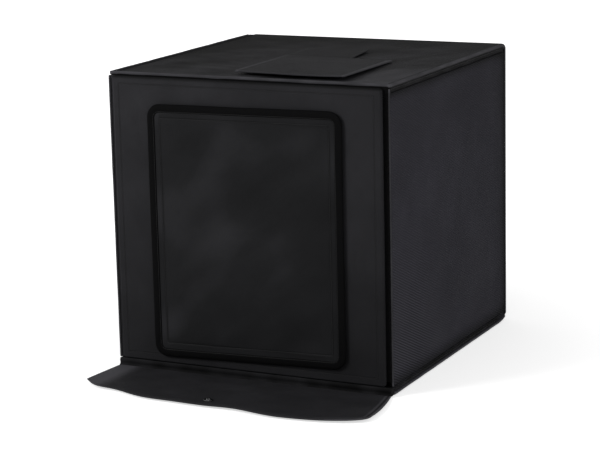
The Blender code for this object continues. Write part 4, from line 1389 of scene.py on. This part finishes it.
cameraLook = {"place": (1.2274, -2.5551, 0.7882), "yaw": -26.143, "pitch": -12.356, "roll": -1.325,
              "lens": 125.78}
yaw, pitch, tilt = (math.radians(cameraLook[key]) for key in ("yaw", "pitch", "roll"))
forward = Vector((math.sin(yaw) * math.cos(pitch), math.cos(yaw) * math.cos(pitch), math.sin(pitch)))
level = Vector((math.cos(yaw), -math.sin(yaw), 0))
upward = level.cross(forward)
cameraRight = math.cos(tilt) * level + math.sin(tilt) * upward
cameraUp = math.cos(tilt) * upward - math.sin(tilt) * level
cameraData = bpy.data.cameras.new("photoCamera")
cameraData.lens = cameraLook["lens"]
cameraData.sensor_width = 36
cameraData.clip_end = 50
camera = bpy.data.objects.new("photoCamera", cameraData)
cameraMatrix = Matrix((cameraRight, cameraUp, -forward)).transposed().to_4x4()
cameraMatrix.translation = Vector(cameraLook["place"])
camera.matrix_world = cameraMatrix
bpy.context.collection.objects.link(camera)
bpy.context.scene.camera = camera

lampLooks = {
    # name: place, point it looks at, width, power in watts
    "keyLamp": ((-1.5, -1.9, 1.5), (0, -0.1, 0.25), 1.0, 38),
    "fillLamp": ((2.6, -0.4, 0.9), (0, 0, 0.2), 1.4, 22),
}
for name, (place, target, width, power) in lampLooks.items():
    data = bpy.data.lights.new(name, "AREA")
    data.shape = "DISK"
    data.size = width
    data.energy = power
    lamp = bpy.data.objects.new(name, data)
    lamp.location = place
    lamp.rotation_euler = (Vector(target) - Vector(place)).to_track_quat("-Z", "Y").to_euler()
    bpy.context.collection.objects.link(lamp)

# The world is plain white to the eye, and dimmer in reflections and as light
worldLook = {"ambient": 0.42, "white": 1.0}
world = bpy.data.worlds.new("studio")
world.use_nodes = True
bpy.context.scene.world = world
background = world.node_tree.nodes["Background"]
seen = Wire(world.node_tree.nodes.new("ShaderNodeLightPath").outputs["Is Camera Ray"])
background.inputs["Color"].default_value = (1, 1, 1, 1)
brighter = worldLook["white"] - worldLook["ambient"]
plug(background.inputs["Strength"], seen * brighter + worldLook["ambient"])

floorLook = {"colour": (0.80, 0.80, 0.80), "pale": (0.82, 0.82, 0.82), "size": 12.0, "drop": 0.0006,
             "nearGlow": 0.58, "farGlow": 0.90, "near": 0.24, "far": 0.90}
floorMesh = bpy.data.meshes.new("floor")
half = floorLook["size"] / 2
corners = [(-half, -half), (half, -half), (half, half), (-half, half)]
floorMesh.from_pydata([(x, y, -floorLook["drop"]) for x, y in corners], [], [(0, 1, 2, 3)])
floor = bpy.data.objects.new("floor", floorMesh)
bpy.context.collection.objects.link(floor)
floorMaterial, place = openFinish("floorPaper", {"Roughness": 0.9, "Specular IOR Level": 0.1,
                                                 "Emission Color": (1, 1, 1, 1)})
surface = surfaceOf(floorMaterial)
paper = place.noise(0.6, 2.0)
plug(surface["Base Color"], paper.colours(floorLook["colour"], floorLook["pale"]))
seen = Wire(floorMaterial.node_tree.nodes.new("ShaderNodeLightPath").outputs["Is Camera Ray"])
fromMiddle = place.node("VectorMath", {"operation": "LENGTH"}, {0: place}, 1)
away = fromMiddle.step(floorLook["near"], floorLook["far"])
brighter = floorLook["farGlow"] - floorLook["nearGlow"]
glow = away * brighter + floorLook["nearGlow"]
plug(surface["Emission Strength"], seen * glow)
floorMesh.materials.append(floorMaterial)

bpy.context.scene.view_settings.view_transform = "Standard"
